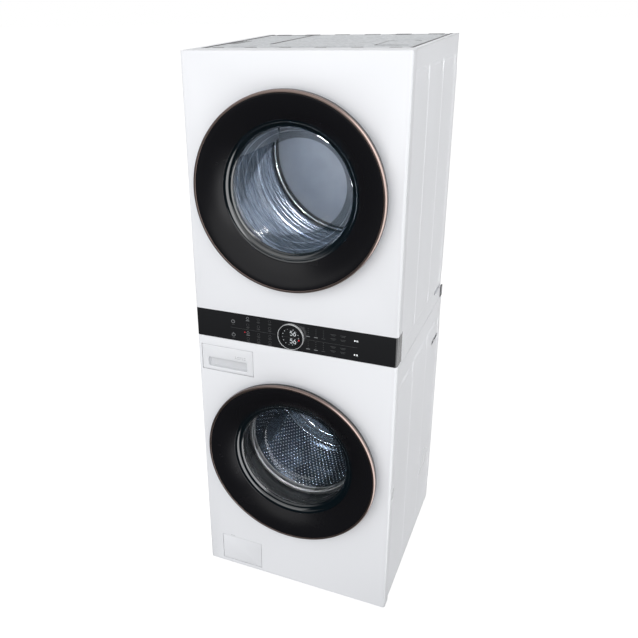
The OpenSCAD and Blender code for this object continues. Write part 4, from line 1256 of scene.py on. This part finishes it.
def make_drawer():
    low, high = box_mm("detergent_drawer")
    x0, x1, z0, z1 = low[0], high[0], low[2], high[2]
    grip = (-306, 859, -162, 893, 4)
    body = "drawer"
    outer = [flat_ring(x0, z0, x1, z1, 3, y, grow) for y, grow in ((17.5, -0.6), (16.9, 0), (1.6, 0), (0.5, -0.5), (0, -1.6))]
    lip = [flat_ring(*grip, y, grow) for y, grow in ((0, 2.2), (0.35, 1.1), (1.2, 0.4), (2.6, 0))]
    parts = [loft("drawer_front", outer + lip, SATIN_WHITE, body, cap_first=False, cap_last=False)]
    cup = [flat_ring(*grip, y, grow) for y, grow in ((2.5, 0.1), (6, -0.6), (10.5, -1.6), (12.6, -2.8), (13.2, -3.6))]
    parts.append(loft("drawer_grip", cup, GRIP_GREY, body, cap_first=False))
    parts.append(soft_box("drawer_back", (x0 + 1, 14.2, z0 + 1), (x1 - 1, 17.6, z1 - 1), SATIN_WHITE, body))
    # tray of three compartments
    tray0, tray1, ty0, ty1, tz0, tz1 = -318, -150, 17.9, high[1], 850, 925
    wall = 2.5
    divides = [tray0, tray0 + wall + 0.36 * (tray1 - tray0 - wall), tray0 + wall + 0.64 * (tray1 - tray0 - wall), tray1]
    parts.append(soft_box("tray_floor", (tray0, ty0, tz0), (tray1, ty1, tz0 + wall), SATIN_WHITE, body))
    parts.append(soft_box("tray_back", (tray0, ty1 - wall, tz0), (tray1, ty1, tz1), SATIN_WHITE, body))
    for i, x in enumerate((tray0, divides[1] - wall, divides[2] - wall, tray1 - wall)):
        parts.append(soft_box(f"tray_wall_{i}", (x, ty0, tz0), (x + wall, ty1 - 1, tz1 - (8 if i in (1, 2) else 0)),
                              SATIN_WHITE, body, bevel=0.8))
    made = merge("detergent_tray", parts)
    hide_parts("detergent_drawer")
    # siphon cap of the softener compartment and a plain printed label
    soft_box("softener_cap", (divides[2] + 4, 60, 880), (tray1 - 6, 180, 884), ACCENT, body, bevel=1.2)
    marks = []
    for row, z in enumerate((z1 - 31, z1 - 37)):
        for k in range(5):
            start = x1 - 66 + 8.2 * k
            marks.append(bar_glyph(start, z, start + (6.2 if (k + row) % 3 else 3.6), z + 2.6, PALE_PRINT, -0.1))
    label = merge("drawer_label", marks)
    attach(label, body)


def make_flap():
    low, high = box_mm("filter_flap")
    body = "flap"
    edges = ((high[1] - 3.4, -0.4), (high[1] - 3.9, 0), (1.2, 0), (0.35, -0.4), (0, -1.4))
    rings = [flat_ring(low[0], low[2], high[0], high[2], 2.5, y, grow) for y, grow in edges]
    parts = [loft("flap_plate", rings, SATIN_WHITE, body)]
    for i, x in enumerate((low[0] + 11, high[0] - 41)):
        barrel = lathe_x(f"flap_barrel_{i}", x, x + 30, 3, 33, 2.9, SATIN_WHITE, body)
        parts.append(barrel)
    made = merge("service_flap", parts)
    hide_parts("filter_flap")
    marks = [bar_glyph(-254 + 5.4 * k, 143.5, -250.4 + 5.4 * k, 146.6, PALE_PRINT) for k in range(3)]
    merge("service_label", marks)


def lathe_x(name, x0, x1, y, z, radius, paint, body="root", steps=24, **how):
    """A level round bar along X with softened ends."""
    verts, faces = [], []
    for r, x in ((radius * 0.8, x0), (radius, x0 + radius * 0.2), (radius, x1 - radius * 0.2), (radius * 0.8, x1)):
        verts += [(x, y + r * math.cos(2 * math.pi * i / steps), z + r * math.sin(2 * math.pi * i / steps))
                  for i in range(steps)]
    for k in range(3):
        faces += [(k * steps + i, k * steps + (i + 1) % steps, (k + 1) * steps + (i + 1) % steps,
                   (k + 1) * steps + i) for i in range(steps)]
    faces += [tuple(range(steps - 1, -1, -1)), tuple(range(3 * steps, 4 * steps))]
    return piece(name, verts, faces, paint, body, **how)


def make_hardware():
    """Goosenecked hinge brackets with their pins, and the door locks."""
    parts = []
    x, y = -284, -26
    for tag, z in (("washer", WASHER_Z), ("dryer", DRYER_Z)):
        parts.append(upright(tag + "_hinge_pin", x, y, z - 27, z + 27, 3, CHROME))
        parts.append(upright(tag + "_knuckle", x, y, z - 10, z + 10, 5.5, STEEL))
        parts.append(soft_box(tag + "_neck", (x, y - 2, z - 10), (x + 29, y + 1, z + 10), STEEL, bevel=0.8))
        parts.append(soft_box(tag + "_neck_turn", (x + 22, y - 2, z - 10), (x + 29, 8, z + 10), STEEL, bevel=1.5))
        parts.append(soft_box(tag + "_hinge_plate", (x - 34, 2, z - 50), (x + 31, 8, z + 50), STEEL, bevel=1.2))
        for dx in (-22, 18):
            for dz in (-38, 38):
                parts.append(screw(f"{tag}_hinge_screw_{dx}_{dz}", x + dx, 8, z + dz, 1, STEEL, 6))
        lock = [((253, 2, 15), (300, 38, 45)), ((253, 2, -45), (300, 38, -15)), ((272, 2, -15), (300, 38, 15)),
                ((253, 2, -15), (254, 38, 15)), ((254, 30, -15), (272, 38, 15))]
        for i, (lo, hi) in enumerate(lock):
            parts.append(soft_box(f"{tag}_lock_{i}", (lo[0], lo[1], z + lo[2]), (hi[0], hi[1], z + hi[2]), DARK,
                                  bevel=0.8))
    made = merge("hinges_and_locks", parts)
    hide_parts("door_hardware")
    for level in ("lower", "upper"):
        paint_node(level + "_door_frame", GREY, 0.6)


# ---- backs and services ----


def make_backs():
    for node in ("lower_rear_panel", "upper_rear_panel"):
        paint_node(node, ZINC)
    skin = box_mm("lower_rear_panel")[1][1] - 0.05
    parts = [pad("back_cover", -165, WASHER_Z - 190, 165, WASHER_Z + 190, 60, skin, 1.3, ZINC),
             pad("back_rib_foot", -300, 165, 300, 190, 12, skin, 1.3, ZINC),
             pad("back_rib_head", -300, 905, 300, 930, 12, skin, 1.3, ZINC)]
    for side in (-1, 1):
        lo, hi = sorted((side * 200, side * 300))
        parts.append(pad(f"back_field_{side}", lo, 230, hi, 780, 24, skin, 1.3, ZINC))
    for i in range(7):
        for side in (-1, 1):
            parts.append(screw(f"back_screw_{i}_{side}", side * 312, skin, 60 + 140 * i, 1, STEEL, 3.8))
    merge("washer_back_pressings", parts)
    plugs = []
    for x, z in ((-185, 825), (185, 825), (-185, 215), (185, 215)):
        plugs.append(lathe(f"transit_plug_{x}_{z}", [(0, skin), (15, skin), (15, skin + 0.6), (13, skin + 1.3), (5, skin + 1.3),
                                                     (4, skin + 0.8), (0, skin + 0.8)], z, GREY, "root", x=x, steps=36))
    for x, z, r in ((90, 880, 16), (150, 880, 16), (-260, 90, 17)):
        plugs.append(lathe(f"grommet_{x}", rounded([(r - 1.2, skin - 2), (r + 4, skin - 0.4), (r + 4, skin + 1.4),
                                                    (r - 1.2, skin + 1.6)], 0.8), z, DARK, "root", x=x, steps=48))
    merge("washer_back_plugs", plugs)
    skin = box_mm("upper_rear_panel")[1][1] - 0.05
    parts = [pad("dry_back_field", -300, 1240, 300, 1800, 40, skin, 1.3, ZINC),
             pad("dry_back_rib", -300, 1200, 300, 1222, 11, skin, 1.3, ZINC)]
    # vents: a dark pad under each zinc hood, painted shade where the vent opens
    for row in range(5):
        for column in range(3):
            x, z = -180 + 150 * column, 1640 + 26 * row
            parts.append(pad(f"vent_shade_{row}_{column}", x, z, x + 90, z + 12, 6, skin + 1.2, 0.1, DARK, edge=0.4))
            parts.append(pad(f"hood_{row}_{column}", x - 2, z + 5, x + 92, z + 15, 4, skin + 1.2, 0.24, ZINC, edge=1.2))
    for i in range(6):
        for side in (-1, 1):
            parts.append(screw(f"dry_back_screw_{i}_{side}", side * 312, skin, 980 + 170 * i, 1, STEEL, 3.8))
    merge("dryer_back_pressings", parts)
    # black brackets that tie the dryer down onto the washer's deck
    ties = []
    for side in (-1, 1):
        a, b = sorted((side * 337, side * 342.6))
        tag = "right" if side > 0 else "left"
        ties.append(soft_box(f"tie_{tag}_plate", (a, UPPER_D + 0.4, SEAM_Z + 2), (b, UPPER_D + 27, SEAM_Z + 44), DARK, bevel=1.2))
        a, b = sorted((side * 300, side * 342))
        ties.append(soft_box(f"tie_{tag}_foot", (a, UPPER_D + 0.4, SEAM_Z + 2), (b, UPPER_D + 27, SEAM_Z + 5), DARK, bevel=0.8))
        ties.append(soft_box(f"tie_{tag}_back", (a, UPPER_D + 0.2, SEAM_Z + 2), (b, UPPER_D + 3, SEAM_Z + 44), DARK, bevel=0.8))
        ties.append(screw(f"tie_{tag}_screw", side * 318, UPPER_D + 3, SEAM_Z + 28, 1, STEEL, 5))
    merge("stacking_brackets", ties)


def make_valves():
    low, high = box_mm("inlet_valves")
    back = high[1]
    parts = [soft_box("valve_block", (68, 640, 854), (172, LOWER_D - 4, 902), GREY, bevel=4, segments=3)]
    threads = []
    for x in (90, 150):
        neck = [(7, back - 38), (15, back - 44), (15, back - 33), (14, back - 32), (10, back - 31), (10, back - 16)]
        turn = [(12.3, back - 15.6)]
        for k in range(6):
            y = back - 14.6 + 2.1 * k
            turn += [(12.3, y), (13.2, y + 0.7), (13.2, y + 1.1), (12.3, y + 1.8)]
        turn += [(12.3, back - 0.6), (11.6, back), (7.4, back), (7, back - 0.6)]
        threads.append(lathe(f"inlet_{x}", neck + turn, 880, BRASS, "root", x=x, steps=64))
        parts.append(upright(f"solenoid_{x}", x, 655, 902, 934, 17, DARK))
        parts.append(soft_box(f"solenoid_lug_{x}", (x - 8, 648, 934), (x + 8, 662, 944), PALE_GREY))
    made = merge("water_valves", parts + threads)
    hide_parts("inlet_valves")


def make_springs():
    """Round wire springs with closed end turns; they stretch between the cabinet and the tub."""
    low, high = box_mm("suspension_springs")
    z0, z1 = low[2], high[2]
    coil_r, wire_r, turns = 14.0, 2.4, 9
    steps, sides = 24 * turns, 10
    verts, faces = [], []
    for side in (-1, 1):
        first = len(verts)
        for i in range(steps + 1):
            a = 2 * math.pi * i * turns / steps
            z = z0 + wire_r + (z1 - z0 - 2 * wire_r) * i / steps
            for k in range(sides):
                b = 2 * math.pi * k / sides
                r = coil_r + wire_r * math.cos(b)
                verts.append((side * 252 + r * math.cos(a), 390 + r * math.sin(a), z + wire_r * math.sin(b)))
        for i in range(steps):
            for k in range(sides):
                n = (k + 1) % sides
                p, q = first + i * sides, first + (i + 1) * sides
                faces.append((p + k, q + k, q + n, p + n))
        faces.append(tuple(first + k for k in range(sides)))
        faces.append(tuple(first + steps * sides + k for k in reversed(range(sides))))
    made = piece("coil_springs", verts, faces, STEEL, None)
    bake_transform(made)
    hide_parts("suspension_springs")


def make_motor():
    """Ribbed dryer motor with its windings showing at the front end."""
    x, z = 170, 1070
    shell = [(7, 342), (22, 340), (38, 342), (40, 346), (40, 349), (62, 350), (66, 354)]
    for k in range(9):
        y = 358 + 10 * k
        shell += [(66, y), (66, y + 5), (63.5, y + 6), (63.5, y + 9)]
    shell += [(66, 448), (62, 450), (40, 451), (40, 454), (38, 458), (22, 460), (7, 458)]
    parts = [lathe("motor_shell", shell, z, DARK, "root", x=x, steps=72)]
    parts.append(lathe("motor_windings", rounded([(42, 343), (58, 343), (58, 351), (42, 351)], 3), z, COPPER, "root",
                       x=x, steps=60))
    for side in (-1, 1):
        lo, hi = sorted((x + side * 50, x + side * 60))
        parts.append(soft_box(f"motor_leg_{side}", (lo, 350, SEAM_Z + 0.2), (hi, 450, z), STEEL, bevel=1.5))
    made = merge("ribbed_motor", parts)
    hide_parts("dryer_motor")


def make_rollers():
    for side, tag in ((-1, "left"), (1, "right")):
        low, high = box_mm("roller_" + tag)
        x, z = (low[0] + high[0]) / 2, (low[2] + high[2]) / 2
        r = (high[0] - low[0]) / 2
        y0, y1 = low[1], high[1]
        tyre = rounded([(r - 8, y0), (r, y0 + 0.5), (r, y1 - 0.5), (r - 8, y1)], 2)
        hub = [(5.05, y0 + 0.5), (10, y0 + 0.5), (10.5, y0 + 4), (r - 8.2, y0 + 4), (r - 8.2, y1 - 4), (10.5, y1 - 4),
               (10, y1 - 0.5), (5.05, y1 - 0.5)]
        body = tag + "_roller"
        made = merge("drum_roller_" + tag, [lathe("tyre_" + tag, tyre, z, BLACK_RUBBER, body, x=x, steps=64),
                                            lathe("hub_" + tag, hub, z, PALE_GREY, body, x=x, steps=48)])
        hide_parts("roller_" + tag)


def make_lint_screen():
    """Moulded frame with woven mesh in its windows."""
    low, high = box_mm("lint_filter")
    body = "lint_screen"
    y0, y1, z0, z1 = low[1], high[1], low[2], high[2]
    parts = [soft_box("screen_head", (low[0], y0, 1244), (high[0], y1, z1), PALE_GREY, body, bevel=1.5),
             soft_box("screen_foot", (low[0], y0, z0), (high[0], y1, z0 + 6), PALE_GREY, body, bevel=1.5)]
    for i in range(9):
        x = -108 + 26 * i
        parts.append(soft_box(f"screen_rib_{i}", (max(x - 0.2, low[0]), y0, z0 + 4), (min(x + 6, high[0]), y1, 1246),
                              PALE_GREY, body, bevel=0.8))
    for i in range(15):
        z = z0 + 8 + 4.6 * i
        parts.append(soft_box(f"weft_{i}", (low[0] + 2, 52.2, z), (high[0] - 2, 52.8, z + 0.6), STEEL, body, bevel=0.1, segments=1))
    for i in range(47):
        x = low[0] + 5 + 4.4 * i
        parts.append(soft_box(f"warp_{i}", (x, 52.3, z0 + 4), (x + 0.6, 52.9, 1246), STEEL, body, bevel=0.1, segments=1))
    made = merge("lint_screen_mesh", parts)
    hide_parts("lint_filter")


def make_feet():
    """Levelling feet: ribbed rubber pads, hexagon nuts and threaded studs."""
    for tag, body in (("front_left", "foot_fl"), ("front_right", "foot_fr"), ("rear_left", "foot_rl"),
                      ("rear_right", "foot_rr")):
        low, high = box_mm("foot_" + tag)
        x, y = (low[0] + high[0]) / 2, (low[1] + high[1]) / 2
        steps = 40
        rows = [(17, 0), (20, 0.8), (20, 2.4), (19, 2.8), (19, 3.4), (20, 3.8), (20, 5), (18.5, 6), (9, 6)]
        verts, faces = [], []
        for r, z in rows:
            verts += [(x + r * math.cos(2 * math.pi * i / steps), y + r * math.sin(2 * math.pi * i / steps), z)
                      for i in range(steps)]
        for k in range(len(rows) - 1):
            faces += [(k * steps + i, k * steps + (i + 1) % steps, (k + 1) * steps + (i + 1) % steps,
                       (k + 1) * steps + i) for i in range(steps)]
        faces.append(tuple(range(steps - 1, -1, -1)))
        faces.append(tuple(range((len(rows) - 1) * steps, len(rows) * steps)))
        parts = [piece("foot_pad_" + tag, verts, faces, BLACK_RUBBER, body)]
        parts.append(upright("foot_nut_" + tag, x, y, 6, 11.9, 9, STEEL, body, steps=6, smooth=False))
        thread = []
        for k in range(22):
            z = 12 + 1.5 * k
            thread += [(4.3, z), (4.95, z + 0.5), (4.95, z + 0.8), (4.3, z + 1.4)]
        thread += [(4.3, 45.4), (3.6, 46)]
        verts, faces = [], []
        steps = 24
        for r, z in thread:
            verts += [(x + r * math.cos(2 * math.pi * i / steps), y + r * math.sin(2 * math.pi * i / steps), z)
                      for i in range(steps)]
        for k in range(len(thread) - 1):
            faces += [(k * steps + i, k * steps + (i + 1) % steps, (k + 1) * steps + (i + 1) % steps,
                       (k + 1) * steps + i) for i in range(steps)]
        faces += [tuple(range(steps - 1, -1, -1)), tuple(range((len(thread) - 1) * steps, len(thread) * steps))]
        parts.append(piece("foot_stud_" + tag, verts, faces, STEEL, body))
        made = merge("levelling_foot_" + tag, parts)
        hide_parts("foot_" + tag)


def paint_the_rest():
    for node, paint, bevel in (
            ("lower_front_panel", WHITE, 0.5), ("upper_front_panel", WHITE, 0.5), ("deck", WHITE, 0.4),
            ("top_front_strip", WHITE, 0.5), ("base_pan", ZINC, 0.6), ("dispenser_housing", GREY, 1.0),
            ("drain_pump", GREY, 1.0), ("filter_cap", ACCENT, 0.8), ("damper_tubes", DARK, 0.8), ("damper_rods", STEEL, 0.6),
            ("terminal_cover", DARK, 1.4), ("heater_box", ZINC, 1.0), ("exhaust_duct", ZINC, 0.0),
            ("drive_belt", BLACK_RUBBER, 0.0), ("tub_front", PALE_GREY, 0.6), ("tub_rear", PALE_GREY, 0.6),
            ("tub_bearings", STEEL, 0.8), ("counterweights", CONCRETE, 3.0), ("motor_stator", COPPER, 0.6),
            ("motor_rotor", ZINC, 0.5), ("drum_spider", CASTING, 2.0), ("blower_wheel", GREY, 0.3)):
        paint_node(node, paint, bevel)


def make_inside_lamps():
    """Small lights inside the two drums, as a lit interior would have."""
    for tag, place, power, size in (("washer_a", (90, 330, WASHER_Z + 110), 1.5, 0.012),
                                    ("washer_b", (-60, 250, WASHER_Z - 30), 0.6, 0.010),
                                    ("washer_c", (150, 210, WASHER_Z - 60), 0.5, 0.008),
                                    ("dryer_a", (60, 190, DRYER_Z + 150), 4.2, 0.03),
                                    ("dryer_b", (150, 360, DRYER_Z - 20), 1.8, 0.03)):
        data = bpy.data.lights.new(tag + "_lamp", "POINT")
        data.energy = power
        data.shadow_soft_size = size
        light = bpy.data.objects.new(tag + "_lamp", data)
        light.location = at(*place)
        bpy.context.scene.collection.objects.link(light)


GRIP_GREY = moulded("grip_grey", (0.66, 0.67, 0.69), 0.5)
ACCENT = moulded("blue_grey_plastic", (0.20, 0.27, 0.36), 0.4)
BRASS = spun_metal("brass", (0.62, 0.46, 0.20), 0.28, (1, 1, 1), 70, 0.06)

make_camera()
make_stage()
for level, z in (("lower", WASHER_Z), ("upper", DRYER_Z)):
    make_door(level, z)
    for side in ("left", "right"):
        make_side(level, side)
make_top()
make_band()
make_drawer()
make_flap()
make_hardware()
make_wash_drum()
make_boot()
make_dry_drum()
make_bulkheads()
make_backs()
make_valves()
make_springs()
make_motor()
make_rollers()
make_lint_screen()
make_feet()
paint_the_rest()
make_inside_lamps()
